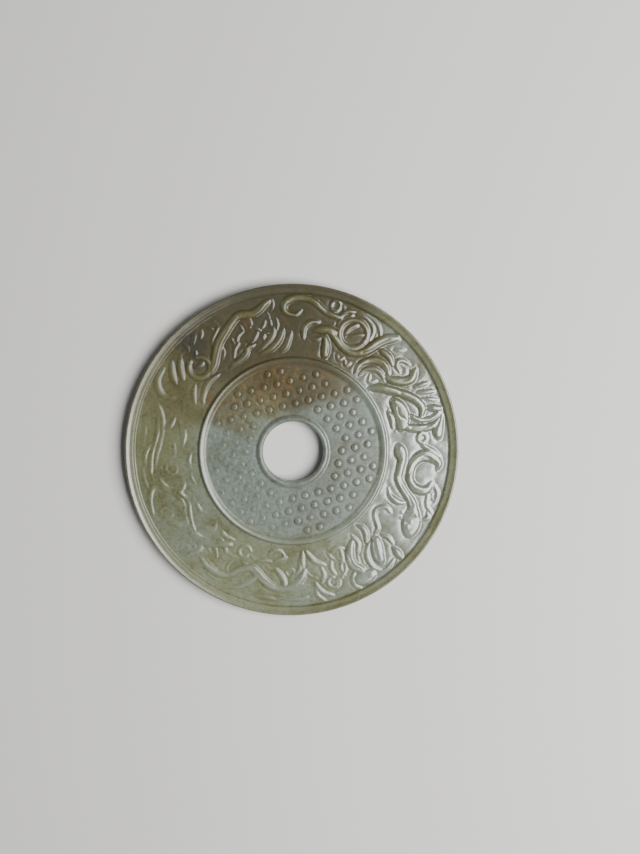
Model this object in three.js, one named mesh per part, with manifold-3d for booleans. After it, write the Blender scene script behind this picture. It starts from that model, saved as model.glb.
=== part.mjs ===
// Jade bi disc lying flat: a stone ring with a field of grain bosses, a raised ring
// and a band of coiling dragons cut in relief. Millimetres, +Z up, underside on z = 0.
import * as THREE from "three";
import { mergeVertices } from "three/addons/utils/BufferGeometryUtils.js";
import Module from "manifold-3d";

const OUTER_RADIUS = 85;
const THICKNESS = 8;
const BORE_RADIUS = 15.4;
const TURN_STEPS = 48;

// Lip round the hole, grain field, raised ring, relief band and rim, from the hole outwards.
const LIP_WIDTH = 3;
const LIP_TOP = 7.4;
const LIP_TO_FIELD = 1.4;
const FIELD_TOP = 6.4;
const FIELD_OUTER = 43.3;
const FIELD_TO_RING = 3.2;
const RING_HALF = 2.1;
const RING_TOP = 7.5;
const RING_TO_BAND = 3.7;
const BAND_TOP = 6.3;
const RIM_WIDTH = 5.4;
const RIM_STEP = 1.2;
const RIM_CREST_IN = 0.9;

const FIELD_INNER = BORE_RADIUS + LIP_WIDTH + LIP_TO_FIELD;
const RING_MIDDLE = FIELD_OUTER + FIELD_TO_RING;
const BAND_INNER = RING_MIDDLE + RING_TO_BAND;
const BAND_OUTER = OUTER_RADIUS - RIM_WIDTH;
const RIM_CREST = OUTER_RADIUS - RIM_CREST_IN;

const BACK_RECESS = 0.6;
const BACK_RIM_WIDTH = 4.4;
const BACK_RING_LOW = 0.1;
const BACK_RIM_INNER = OUTER_RADIUS - BACK_RIM_WIDTH;

// Relief: slope and width of a strand's sides, rise of a wide strand's top, depth of its root.
const BEVEL = 0.46;
const FLANK = 1.45;
const CROWN = 0.22;
const ROOT_DEPTH = 1.1;
const ROOT_SPREAD = 0.45;
const SWELL = 1.1;
const BAND_STEPS = 30;
const DRAWN_INNER = 50.2;
const DRAWN_OUTER = 79.6;

const BOSS_PITCH = 6.8;
const BOSS_TURN = 14;
const BOSS_START = [24.75, 0.3];
const BOSS_RADIUS = 1.9;
const BOSS_HEIGHT = 0.4;
const BOSS_SIDES = 5;
const BOSS_EDGE = 1.1;

const wasm = await Module();
wasm.setup();

// Place in the band: an angle in degrees and a step from its inner edge out to its rim.
function bandPoint(angle, step) {
  const radius = BAND_INNER + (step * (BAND_OUTER - BAND_INNER)) / BAND_STEPS;
  const turn = THREE.MathUtils.degToRad(angle);
  return new THREE.Vector2(radius * Math.cos(turn), radius * Math.sin(turn));
}

// The same place from x and y on the band as it was drawn.
function scrollPoint(x, y) {
  const step = ((Math.hypot(x, y) - DRAWN_INNER) * BAND_STEPS) / (DRAWN_OUTER - DRAWN_INNER);
  return bandPoint(THREE.MathUtils.radToDeg(Math.atan2(y, x)), step);
}

// Stations [angle, step, half width] along one limb, body, tail or claw.
const FIGURES = {
  headAndCoil: [
    [[325.2, 23.5, 3.2], [328.5, 21.7, 4.6], [332.2, 20, 3.2]],
    [[332, 20.3, 2.6], [336, 17.3, 2.3], [338.4, 13.6, 2.1], [341, 9.8, 2.1], [345, 6, 2],
      [350, 5.7, 2], [355.5, 6, 2.3], [359, 5, 3], [361.6, 4.4, 2.2]],
    [[335.4, 14.5, 0.6], [334.1, 11.5, 1.4], [334.1, 8, 1.7], [335.4, 4.7, 1.3], [338.5, 2.4, 0.6]],
    [[346.3, 23.5, 1.2], [343.5, 22, 2.1], [342.6, 18.5, 2.4], [343.3, 14.8, 2.3], [346, 12, 2],
      [350, 11.3, 1.9], [354, 12.2, 2.2], [357, 15, 2.6], [357.8, 19, 2.8], [356.8, 23, 2.4],
      [354.8, 25.7, 1.8], [352.8, 25.3, 1.1]],
    [[357.5, 25.6, 1], [359.5, 22.8, 1.3], [361, 19.5, 1.3], [362.6, 16.8, 1.2]],
    [[335.7, 28.7, 0.8], [337.7, 24.9, 1.1], [341.5, 23.4, 0.9]],
    [[340.5, 28.6, 0.9], [343.4, 28.1, 1.2], [345.8, 25.6, 0.9]],
    [[331.6, 26.4, 1], [333.2, 28.3, 1.2], [334.8, 27, 0.8]],
  ],
  leafAndHaunch: [
    [[13.5, 29, 0.9], [10.5, 27, 1.9], [7.5, 25.2, 2.6], [5.3, 25.6, 1.6]],
    [[12.4, 27.6, 1.2], [10.6, 24.5, 1.7], [9.8, 20, 1.9], [10.2, 15.5, 2], [11.2, 11, 1.9],
      [13.4, 7.6, 1.6]],
    [[14.4, 27.5, 1.1], [13.2, 23.5, 1.3], [13.2, 19.5, 1.3], [14.2, 16, 1.4], [16.5, 13, 1.2]],
    [[16, 28.8, 1.4], [16.9, 25.6, 1.8], [17.8, 22.4, 1.1]],
    [[19.4, 28.8, 0.9], [20.6, 25.4, 1.2], [21.6, 21.8, 0.9]],
    [[23, 28.6, 1], [23.8, 25.2, 1.3], [24.8, 21.2, 1]],
    [[26.8, 27.6, 0.9], [27.2, 24.6, 1.2], [27.6, 20.8, 0.9]],
    [[15.6, 18.6, 1.3], [18.6, 20, 1.9], [22, 18.6, 2.1], [25.4, 15.6, 2.1], [28, 13, 2]],
    [[12.8, 7, 2.6], [17, 8.2, 3.8], [21.6, 8.4, 3.6], [25.6, 7.6, 2.4]],
    [[14, 2.4, 1.1], [17.5, 3, 1.6], [21.5, 2.7, 1.2]],
  ],
  archedClaw: [
    [[27.6, 13, 1.7], [29.7, 11, 2.1], [32, 8.6, 2.2], [35, 5.8, 2.1], [37.5, 3, 1.8], [39, 1, 1.3]],
    [[33.2, 24.8, 1.3], [31.5, 21.5, 2.1], [31.8, 18, 2.2], [33.3, 15, 2.2], [35.5, 12.4, 2],
      [38, 11, 1.5]],
    [[37, 24.2, 0.8], [39.6, 22.8, 1.2], [40.4, 20.6, 1.3], [39.2, 18.5, 1.2], [37, 18.2, 0.9]],
    [[39.6, 13.2, 1.1], [42.5, 14.2, 1.7], [45.5, 14, 1.8], [48.5, 12, 1.8], [51, 8.8, 1.7],
      [52.4, 5, 1.5], [51.8, 1.6, 1.1]],
    [[38, 8.9, 0.8], [40.4, 9.7, 1.2], [43.5, 9.7, 1.3], [46.5, 8, 1.3], [48.7, 5.3, 1.2],
      [49, 2.2, 0.9]],
    [[40.6, 5, 0.9], [42.4, 2.5, 1.1], [44.4, 4.6, 0.8]],
    [[47.5, 28.4, 1.7], [50, 24.5, 2.3], [51.8, 20, 2.4], [52.9, 16, 2.3], [54.3, 12.4, 2.1],
      [57, 9.6, 1.8], [61, 8.2, 1.5]],
    [[41.6, 17.6, 1.1], [44.6, 18.7, 1.6], [48.4, 18.5, 1.4]],
    [[42.4, 27, 0.8], [44.4, 24, 0.9]],
  ],
  roundLoop: [
    [[63.2, 22, 1], [64.9, 19.8, 1.2], [66, 17, 1]],
    [[58.6, 19.4, 0.9], [60.7, 17.9, 1.1], [63.4, 15.4, 0.9]],
    [[56.5, 28, 0.8], [61, 29, 0.9], [66, 28, 0.8]],
    [[66, 27.8, 1], [68.4, 26.8, 1.3], [70, 24.8, 1.1]],
    [[70.2, 22.4, 1.1], [73, 22.2, 1.5], [76.5, 23, 1.5], [79, 24.6, 1.5], [81.5, 26.8, 1.6],
      [84.5, 28.2, 1.6], [88, 28.4, 1.7], [91.5, 27.2, 1.8], [93.4, 24.8, 1.7], [93.4, 22, 1.6],
      [91.5, 20, 1.3], [88.8, 19.8, 1], [87, 21.6, 0.9]],
    [[70, 14.2, 1.4], [73, 14.7, 1.8], [76.4, 13.8, 1.9], [79.5, 12.6, 1.2]],
    [[79, 17.2, 0.9], [82, 16.5, 1.3], [84.3, 14, 1.4], [85, 11, 1.4], [84.8, 8.5, 1]],
    [[76.2, 9.4, 0.9], [78.4, 8.1, 1.1], [80.6, 8.4, 0.8]],
    [[74.4, 10.4, 1.5], [72.9, 7, 2.1], [72, 3.6, 2.3], [71.6, 1.2, 1.7]],
    [[57.2, 2.9, 0.8], [58.6, 1.5, 1], [60.2, 2.7, 0.8]],
    [[62, 3.6, 0.8], [63.6, 2.2, 1], [65.2, 3.4, 0.8]],
  ],
  longBody: [
    [[91, 10, 0.9], [92.2, 6.5, 1.4], [93.8, 3, 1.4], [96.4, 1.1, 1]],
    [[94.9, 11.6, 1.1], [95.9, 8.8, 1.6], [98, 6.2, 1.8], [100.9, 4, 1.8], [104, 2.7, 1.5],
      [108, 2, 1]],
    [[98.9, 13.6, 0.8], [99.2, 11.2, 1.2], [101.2, 8.2, 1.4], [105.9, 5.1, 1.2], [109.4, 3.9, 0.8]],
    [[99, 27.6, 1.2], [101, 26.2, 1.7], [103.7, 23.9, 1.9], [106.6, 23, 1.9], [109.2, 23.9, 1.9],
      [112, 24.4, 1.9], [115, 22.6, 1.9], [118, 20.6, 2.1], [120.5, 19, 2.2], [123.3, 17.2, 2.2],
      [126, 15, 2.2], [129, 12, 2.1], [132, 9.4, 1.9], [135.6, 7.8, 1.4]],
    [[110.4, 7.7, 1], [113.4, 7.3, 1.4], [115.4, 4.9, 1.5], [119, 3.7, 1.4], [123, 3.4, 1.3],
      [126.4, 3, 0.8]],
    [[116.6, 11.4, 0.8], [119.2, 9.8, 1], [121.5, 6.8, 0.8]],
    [[106.5, 13.2, 0.8], [108.2, 11.2, 1.1], [110, 9.9, 0.8]],
  ],
  hairAndCurl: [
    [[140.5, 23.6, 1.2], [143, 21, 1.6], [145.5, 17.6, 1.3]],
    [[143.4, 26.2, 1.1], [146.8, 22.6, 1.6], [149, 19.4, 1.2]],
    [[147, 28, 1], [151.5, 27.9, 1.6], [154.8, 24.8, 1.8], [156, 20.5, 1.6], [155.2, 16.4, 1.2]],
    [[134, 4.4, 0.9], [138.5, 5.2, 1.4], [143, 4.9, 1.5], [148, 3.4, 1.3], [151.5, 1.6, 0.9]],
    [[145.6, 10, 0.9], [149.4, 8.2, 1.3], [153, 5.6, 0.9]],
  ],
  windingBody: [
    [[160, 23.8, 1.3], [163, 21, 2.2], [167, 18.8, 2.4], [171.5, 18.2, 2.4], [176, 18.8, 2.3],
      [181, 20.6, 2.2], [186, 21.8, 2.2], [190.7, 21.2, 2.1], [194.6, 18.2, 2], [197.4, 14.4, 2],
      [200.6, 11.4, 2], [204.8, 10.3, 2], [209, 11.6, 2], [213.4, 13.9, 2.1], [218, 15.6, 2.2],
      [223, 15.4, 2.2], [227.5, 13.2, 2.1], [231.4, 10.2, 1.9], [235.4, 7.6, 1.4]],
    [[164.6, 9.4, 1.1], [167.8, 7.2, 1.6], [172, 5.9, 1.5], [176.4, 6.4, 1]],
    [[176, 10.6, 0.9], [180.4, 10.2, 1.2], [183, 12.4, 0.9]],
    [[181, 2, 0.9], [184.6, 3, 1.2], [188.6, 2.4, 0.9]],
    [[191, 3, 0.8], [194.4, 3.2, 1.1], [198, 2, 0.8]],
    [[186.6, 27, 0.8], [190.5, 27, 1.1], [194.4, 25.8, 0.8]],
    [[168.6, 26.6, 0.9], [172.4, 26.2, 1.3], [177, 27, 0.9]],
    [[208.4, 5.6, 0.9], [211.6, 5.8, 1.3], [215.4, 4.8, 0.9]],
    [[169.6, 17, 1.2], [167.4, 13.8, 1.5], [163.6, 12.6, 1]],
    [[192.6, 19.4, 1.2], [194.4, 24.2, 1.6], [198.6, 27.2, 1.4], [203.4, 28.2, 0.9]],
    [[199.8, 12, 1.2], [196.6, 8.4, 1.5], [192, 7.4, 1.2], [189.6, 5.6, 0.8]],
    [[214, 14.6, 1.3], [212.4, 18.8, 1.6], [209.6, 22.4, 1.4]],
    [[219.4, 14.8, 1.2], [220.6, 10, 1.6], [223.8, 6.6, 1.5], [222, 3.4, 1]],
    [[224.8, 16, 1.2], [226, 20.4, 1.5], [224.4, 25.4, 1.1]],
    [[176, 22, 0.8], [180.4, 25.2, 1.3], [184.4, 25.6, 0.8]],
    [[205.6, 6.4, 0.8], [202, 3.6, 1.2], [199.6, 5.6, 0.8]],
    [[229, 22.4, 0.9], [233, 23.8, 1.5], [238, 23.9, 1.6], [242.4, 21.8, 1.4], [244.6, 18, 1.5],
      [247.4, 15, 1.8], [250.7, 13.7, 2], [254, 15.4, 2.1], [257.5, 18.6, 2.1], [261.5, 21, 2],
      [266, 21.6, 1.9], [270.4, 19.7, 1.9], [273.4, 16.4, 1.8], [275, 12.8, 1.3]],
    [[228, 4.6, 0.9], [231.5, 5.4, 1.3], [235.5, 4.4, 0.9]],
  ],
  discAndHook: [
    [[274.6, 9.7, 1], [274.6, 6, 1.4], [275, 2.8, 1]],
    [[284.8, 10.7, 1], [281.4, 8.4, 1.4], [279.3, 5.6, 1.4], [277.4, 2.6, 1]],
    [[279.6, 20, 0.9], [280.6, 23, 1.3], [282.4, 25.8, 1.3], [285, 27.6, 0.9]],
    [[288.6, 17, 0.9], [287.8, 14, 1.2], [288.6, 11, 0.9]],
    [[297, 25.4, 2.6], [299.4, 25.9, 3.5], [302, 26.2, 2.6]],
    [[299.8, 21.4, 2], [297.8, 17.4, 2.4], [297.6, 13, 2.3], [299.8, 9, 2], [302.5, 6, 1.3]],
    [[290.4, 5.6, 0.9], [293.4, 4.8, 1.2], [296.4, 6, 0.9]],
    [[308.4, 23.4, 1.9], [309.2, 19.8, 2.9], [310.8, 16, 3.1], [312.8, 12.8, 2.1]],
    [[315.2, 28.8, 1.3], [315.5, 26, 1.9], [315.8, 23.4, 1.3]],
    [[308.8, 10.2, 0.9], [311.2, 6.8, 1.5], [312, 3.6, 1.4], [311, 1.2, 0.9]],
    [[314.8, 10.2, 0.9], [317.5, 9.2, 1.2], [319.5, 6.2, 1.2], [321.4, 3.6, 1.2], [324.2, 2.4, 1.2],
      [327, 3.5, 1.2], [328.7, 6, 1.2], [327.8, 8.8, 1]],
    [[317, 20, 0.9], [317.5, 16.8, 1.2], [316.6, 14, 0.9]],
    [[254.4, 16.4, 1.2], [251.6, 20.6, 1.6], [248, 25.4, 1.4], [244.4, 27.8, 0.9]],
    [[266.6, 20.4, 1.2], [265, 15.4, 1.6], [262, 12, 1.2]],
    [[304.6, 27.8, 0.8], [308.4, 28.6, 1.1], [312, 27.4, 0.8]],
    [[292.4, 10.4, 0.8], [294.6, 13.6, 1.1], [293.6, 17.4, 0.9], [290.8, 20.4, 0.7]],
    [[302.4, 12, 0.9], [305, 8.4, 1.2], [304.6, 4, 1]],
    [[252, 9.6, 0.8], [255, 8, 1.1], [258.6, 8, 0.8]],
    [[260, 8, 0.8], [262.7, 6.3, 1.2], [266, 4.8, 0.8]],
    [[255.4, 27.2, 0.8], [259.5, 27, 1.2], [263.5, 27.4, 0.8]],
    [[267.6, 26.6, 0.8], [271.5, 27.2, 1.2], [275.2, 26.2, 0.8]],
  ],
};

// Stations [x, y, half width] of the strands that cross the band or wind round a scroll.
const SCROLLS = {
  loop: [
    [[32, 49.8, 1.9], [28, 50.8, 1.9], [24.4, 53.6, 1.8], [22, 56.8, 1.8], [19.6, 60, 1.9],
      [16.8, 62, 2.0], [13.6, 62.4, 1.6]],
    [[32.6, 69.6, 0.8], [37, 67.8, 1.0], [40.2, 64.2, 1.0], [40.8, 60.6, 0.9], [39, 57.2, 0.9]],
    [[40.4, 67.4, 0.9], [43, 64.6, 1.1], [44.2, 61.6, 1.1], [44.4, 58.6, 0.8]],
    [[22.6, 63.8, 0.8], [23.8, 66, 0.9], [26.6, 68, 0.9], [30, 68.8, 0.8]],
    [[25.8, 73.2, 0.9], [26.4, 70.8, 1.1], [24.8, 69, 0.9]],
  ],
  brow: [
    [[-21.8, 67, 0.8], [-21, 65.2, 0.9], [-21.8, 63, 0.7]],
    [[-14.2, 66.4, 0.8], [-14.6, 64.4, 1.0], [-15.8, 62.8, 0.8]],
    [[-19.8, 63.6, 0.8], [-18.2, 62.6, 1.0], [-16.6, 61.6, 0.8]],
    [[-11.4, 66.6, 0.7], [-11.2, 64.4, 0.8]],
    [[-25.2, 61, 0.8], [-27.6, 58.8, 1.1], [-28.2, 56.4, 0.9]],
    [[-24, 54.6, 0.7], [-25, 52.6, 1.0], [-27.2, 51, 0.9]],
  ],
  medallion: [
    [[-45.4, 46.6, 0.8], [-45.6, 44.9, 1.2], [-47.2, 43.6, 1.2], [-49.2, 43, 0.8]],
    [[-50.4, 60, 0.6], [-50.8, 57.4, 0.8], [-51.2, 54.2, 0.6]],
    [[-48.9, 60.4, 0.6], [-49.4, 57.4, 0.8], [-50, 54.4, 0.6]],
    [[-46.2, 62, 0.8], [-45.8, 59.8, 1.1], [-46.4, 57.8, 0.8]],
    [[-49, 51.2, 0.8], [-48.8, 49, 1.1], [-49.9, 46.9, 0.8]],
    [[-42, 65.6, 0.7], [-40.6, 65.6, 0.9], [-38.8, 65, 0.7]],
    [[-43, 62.8, 0.7], [-41.4, 62.6, 0.9], [-39.8, 61.8, 0.7]],
    [[-37.4, 63.4, 0.7], [-38.8, 60.6, 1.0], [-40.2, 57.6, 0.9], [-41, 54.2, 0.7]],
  ],
  lowerWaves: [
    [[-50.6, -46.6, 0.7], [-50.2, -49, 0.9], [-49.4, -51.4, 0.6]],
    [[-48, -45.6, 0.7], [-46.8, -50, 0.8]],
    [[-44, -47.6, 0.7], [-42.6, -51.2, 0.8]],
    [[-40.8, -46.8, 0.8], [-39.6, -50.4, 1.0], [-39.2, -54, 0.7]],
    [[-36.8, -44.6, 0.9], [-35.2, -48, 1.3], [-34.4, -51.8, 0.9]],
    [[-25.8, -57, 0.9], [-21.8, -60, 1.4], [-18.8, -64.2, 1.4], [-15, -68.4, 1]],
    [[-28.6, -66.2, 0.9], [-24.8, -66.6, 1.2], [-21.8, -64.6, 0.8]],
    [[-12.4, -52.4, 0.9], [-9.4, -50.8, 1.2], [-6, -52, 1], [-4.4, -54.8, 0.8]],
    [[3.2, -56.6, 0.9], [3.4, -60.4, 1.3], [1.2, -63.4, 0.9]],
    [[11.6, -71, 0.9], [12.6, -74.8, 1.3], [16, -77.2, 0.9]],
    [[14.4, -60.6, 0.9], [15.8, -64.2, 1.3], [14.6, -68, 0.9]],
    [[24.4, -51.4, 0.9], [25.4, -56, 1.3], [24.6, -60.4, 1.1], [26.4, -64, 0.8]],
    [[31.8, -62.6, 1], [30.8, -66.4, 1.4], [32.4, -70.2, 1.3], [36.4, -71.8, 0.9]],
    [[39.2, -47.8, 1], [38, -52.4, 1.4], [39, -57, 1.5], [42, -60.8, 1.3], [46.2, -62.4, 0.9]],
  ],
};

// Curls: centre angle and step, ring radius, half width, start, sweep and how far they close.
const CURLS = [
  { angle: 62.9, step: 17.2, radius: 7.2, half: 1.5, start: 340, sweep: 350, close: 0.04 },
  { angle: 137.4, step: 13.8, radius: 5.6, half: 1.6, start: 150, sweep: 320, close: 0.1 },
  { angle: 5.6, step: 16.8, radius: 2.4, half: 1.2, start: 20, sweep: 330, close: 0.1 },
  { angle: 73.6, step: 27.3, radius: 2.5, half: 1.1, start: 30, sweep: 320, close: 0.15 },
  { angle: 339.7, step: 26.9, radius: 1.7, half: 0.8, start: 200, sweep: 270, close: 0.25 },
  { angle: 103, step: 9.7, radius: 2.1, half: 0.9, start: 60, sweep: 300, close: 0.25 },
  { angle: 187.5, step: 12.2, radius: 3.3, half: 1.1, start: 100, sweep: 300, close: 0.25 },
  { angle: 205.5, step: 21.6, radius: 3.6, half: 1.2, start: 40, sweep: 310, close: 0.25 },
  { angle: 221.5, step: 24.6, radius: 2.4, half: 1, start: 250, sweep: 290, close: 0.25 },
  { angle: 244, step: 7.2, radius: 3.2, half: 1.1, start: 10, sweep: 300, close: 0.25 },
  { angle: 286.8, step: 21.4, radius: 2.8, half: 1, start: 90, sweep: 300, close: 0.25 },
  { angle: 268.6, step: 12.6, radius: 2.2, half: 0.9, start: 180, sweep: 300, close: 0.25 },
];

// One closed body from its geometry, faces out, as a solid for joining.
function solid(geometry) {
  geometry.deleteAttribute("normal");
  geometry.deleteAttribute("uv");
  const merged = mergeVertices(geometry, 1e-4);
  const points = merged.getAttribute("position").array;
  const faces = Uint32Array.from(merged.getIndex().array);
  let volume = 0;
  const corner = [new THREE.Vector3(), new THREE.Vector3(), new THREE.Vector3()];
  for (let i = 0; i < faces.length; i += 3) {
    corner.forEach((c, k) => c.fromArray(points, faces[i + k] * 3));
    volume += corner[0].dot(corner[1].cross(corner[2])) / 6;
  }
  if (volume < 0) {
    for (let i = 0; i < faces.length; i += 3) {
      [faces[i], faces[i + 1]] = [faces[i + 1], faces[i]];
    }
  }
  return new wasm.Manifold(new wasm.Mesh({
    numProp: 3,
    vertProperties: Float32Array.from(points),
    triVerts: faces,
  }));
}

// The plain turned disc: bore, lip, field, raised ring, band ground, rim and back.
function turnedDisc() {
  const lip = BORE_RADIUS + LIP_WIDTH;
  const profile = [
    [BORE_RADIUS, 0.7], [BORE_RADIUS, LIP_TOP - 0.8], [BORE_RADIUS + 0.6, LIP_TOP - 0.1],
    [BORE_RADIUS + 1.9, LIP_TOP], [lip, FIELD_TOP - 0.2], [FIELD_INNER, FIELD_TOP],
    [RING_MIDDLE - RING_HALF, FIELD_TOP], [RING_MIDDLE - RING_HALF / 3, RING_TOP - 0.3],
    [RING_MIDDLE + RING_HALF / 4, RING_TOP], [RING_MIDDLE + RING_HALF / 2, RING_TOP - 0.1],
    [RING_MIDDLE + RING_HALF, BAND_TOP], [BAND_OUTER + RIM_STEP / 4, BAND_TOP],
    [BAND_OUTER + RIM_STEP, THICKNESS - 0.8], [RIM_CREST - 1.5, THICKNESS - 0.6],
    [RIM_CREST, THICKNESS], [OUTER_RADIUS, THICKNESS - 1.2], [OUTER_RADIUS, 1.2], [OUTER_RADIUS - 1.4, 0],
    [BACK_RIM_INNER, 0], [BACK_RIM_INNER - 0.8, BACK_RECESS], [RING_MIDDLE + RING_HALF, BACK_RECESS],
    [RING_MIDDLE, BACK_RING_LOW], [RING_MIDDLE - RING_HALF, BACK_RECESS], [lip, BACK_RECESS],
    [lip - 1, BACK_RING_LOW], [BORE_RADIUS + 0.6, BACK_RING_LOW], [BORE_RADIUS, 0.7],
  ].map(([r, z]) => new THREE.Vector2(r, z));
  const body = new THREE.LatheGeometry(profile, TURN_STEPS);
  body.rotateX(Math.PI / 2);
  return solid(body);
}

// The share of the carving's height that wear has left: least on the left side.
function wear(x, y) {
  const turn = (THREE.MathUtils.radToDeg(Math.atan2(y, x)) + 360) % 360;
  const left = THREE.MathUtils.smoothstep(-Math.abs(turn - 188), -50, -28);
  const low = THREE.MathUtils.smoothstep(-Math.abs(turn - 264), -52, -24);
  return 1 - 0.6 * left - 0.25 * low;
}

// A raised strand through the stations {x, y, half}: bevelled sides, and a flat top where it is wide.
function strand(stations) {
  const wide = Math.max(...stations.map((s) => s.half)) > FLANK;
  const section = (s, i) => {
    const before = stations[Math.max(i - 1, 0)];
    const after = stations[Math.min(i + 1, stations.length - 1)];
    const along = new THREE.Vector2(after.x - before.x, after.y - before.y).normalize();
    const across = new THREE.Vector2(-along.y, along.x);
    const nose = i === 0 ? -s.half * 0.6 : i === stations.length - 1 ? s.half * 0.6 : 0;
    const rise = (BEVEL * Math.min(s.half, FLANK) + (wide ? CROWN : 0)) * wear(s.x, s.y);
    const crest = Math.max(s.half - FLANK, s.half * 0.15);
    const [low, high] = [BAND_TOP - ROOT_DEPTH, BAND_TOP + rise];
    const root = s.half + ROOT_SPREAD;
    const top = wide ? [[-crest, high, 0], [crest, high, 0]] : [[0, high, 0]];
    const [left, right] = [-1, 1].map((side) => [side * s.half, BAND_TOP, nose]);
    return [[-root, low, nose], left, ...top, right, [root, low, nose]].map(([side, z, reach]) => [
      s.x + across.x * side + along.x * reach, s.y + across.y * side + along.y * reach, z]);
  };
  const rows = stations.map(section);
  const sides = rows[0].length;
  const index = [];
  for (let i = 0; i + 1 < rows.length; i += 1) {
    for (let k = 0; k < sides; k += 1) {
      const [a, b] = [i * sides + k, i * sides + ((k + 1) % sides)];
      index.push(a, b, a + sides, b, b + sides, a + sides);
    }
  }
  const last = (rows.length - 1) * sides;
  for (let k = 1; k + 1 < sides; k += 1) {
    index.push(0, k + 1, k, last, last + k, last + k + 1);
  }
  const geometry = new THREE.BufferGeometry();
  geometry.setAttribute("position", new THREE.Float32BufferAttribute(rows.flat(2), 3));
  geometry.setIndex(index);
  return solid(geometry);
}

function curlStations({ angle, step, radius, half, start, sweep, close }) {
  const centre = bandPoint(angle, step);
  const count = Math.max(7, Math.round((sweep / 360) * (radius > 4 ? 14 : 9)));
  return Array.from({ length: count + 1 }, (_, i) => {
    const turn = THREE.MathUtils.degToRad(start + (sweep * i) / count);
    const reach = radius * (1 - (close * i) / count);
    const taper = i === 0 || i === count ? 0.75 : 1;
    return {
      x: centre.x + reach * Math.cos(turn), y: centre.y + reach * Math.sin(turn),
      half: half * SWELL * taper,
    };
  });
}

// Grain bosses on an even triangular grid that covers the inner field.
function bosses() {
  const found = [];
  const rows = Math.ceil((2 * FIELD_OUTER) / BOSS_PITCH) + 2;
  const turn = THREE.MathUtils.degToRad(BOSS_TURN);
  const third = turn + Math.PI / 3;
  for (let i = -rows; i <= rows; i += 1) {
    for (let j = -rows; j <= rows; j += 1) {
      const x = BOSS_START[0] + BOSS_PITCH * (i * Math.cos(turn) + j * Math.cos(third));
      const y = BOSS_START[1] + BOSS_PITCH * (i * Math.sin(turn) + j * Math.sin(third));
      const radius = Math.hypot(x, y);
      if (radius > FIELD_INNER + BOSS_EDGE && radius < FIELD_OUTER - BOSS_EDGE) {
        const grain = new THREE.ConeGeometry(BOSS_RADIUS * 1.4, BOSS_HEIGHT * 1.4, BOSS_SIDES);
        grain.rotateX(Math.PI / 2);
        grain.translate(x, y, FIELD_TOP + BOSS_HEIGHT * 0.3);
        found.push(solid(grain));
      }
    }
  }
  return found;
}

function joined(parts) {
  return parts.reduce((whole, next) => whole.add(next));
}

function stationsOf(table, place) {
  return Object.values(table).flat().map((stations) => stations.map(([a, b, half]) => {
    const spot = place(a, b);
    return { x: spot.x, y: spot.y, half: half * SWELL };
  }));
}

const strands = [
  ...stationsOf(FIGURES, bandPoint), ...stationsOf(SCROLLS, scrollPoint), ...CURLS.map(curlStations)];
const whole = turnedDisc().add(joined(strands.map(strand))).add(joined(bosses()));

const mesh = whole.getMesh();
const carved = new THREE.BufferGeometry();
carved.setAttribute("position", new THREE.BufferAttribute(Float32Array.from(mesh.vertProperties), 3));
carved.setIndex(Array.from(mesh.triVerts));
carved.computeVertexNormals();

const jade = new THREE.MeshStandardMaterial({ color: 0x8b8f6c, roughness: 0.3 });
jade.name = "jade";
const disc = new THREE.Mesh(carved, jade);
disc.name = "jade_disc";

const group = new THREE.Group();
group.name = "jade_bi_disc";
group.add(disc);
export default group;
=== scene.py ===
"""Jade bi disc lying face up: grain field, raised ring and a relief band of coiling dragons."""
from __future__ import annotations

import logging
import math
from dataclasses import dataclass, field
from enum import Enum

import bpy
import numpy as np
from mathutils import Matrix, Vector


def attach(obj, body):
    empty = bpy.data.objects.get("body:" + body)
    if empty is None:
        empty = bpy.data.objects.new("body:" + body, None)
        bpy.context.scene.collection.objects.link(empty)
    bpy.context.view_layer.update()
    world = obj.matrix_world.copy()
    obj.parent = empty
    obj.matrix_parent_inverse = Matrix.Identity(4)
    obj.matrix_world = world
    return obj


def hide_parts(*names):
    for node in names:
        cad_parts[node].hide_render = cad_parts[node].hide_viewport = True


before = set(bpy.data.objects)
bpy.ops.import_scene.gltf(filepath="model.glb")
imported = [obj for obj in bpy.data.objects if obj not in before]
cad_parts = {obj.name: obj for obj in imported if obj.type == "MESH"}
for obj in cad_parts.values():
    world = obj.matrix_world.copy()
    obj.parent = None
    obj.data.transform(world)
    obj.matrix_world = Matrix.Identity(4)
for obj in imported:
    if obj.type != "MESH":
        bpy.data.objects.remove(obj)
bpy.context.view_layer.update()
LOG = logging.getLogger("jade_bi_disc")
MM = 0.001

# Sizes in mm: the disc, its hole, and the heights of the grain field's ground on the two faces.
OUTER_RADIUS = 85.0
BORE_RADIUS = 15.4
FIELD_LEVEL = 6.4
BACK_LEVEL = 0.6

Station = tuple[float, float, float]
Colour = tuple[float, float, float]


class Face(Enum):
    """The two faces of the disc."""

    FRONT = 1
    BACK = -1


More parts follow.
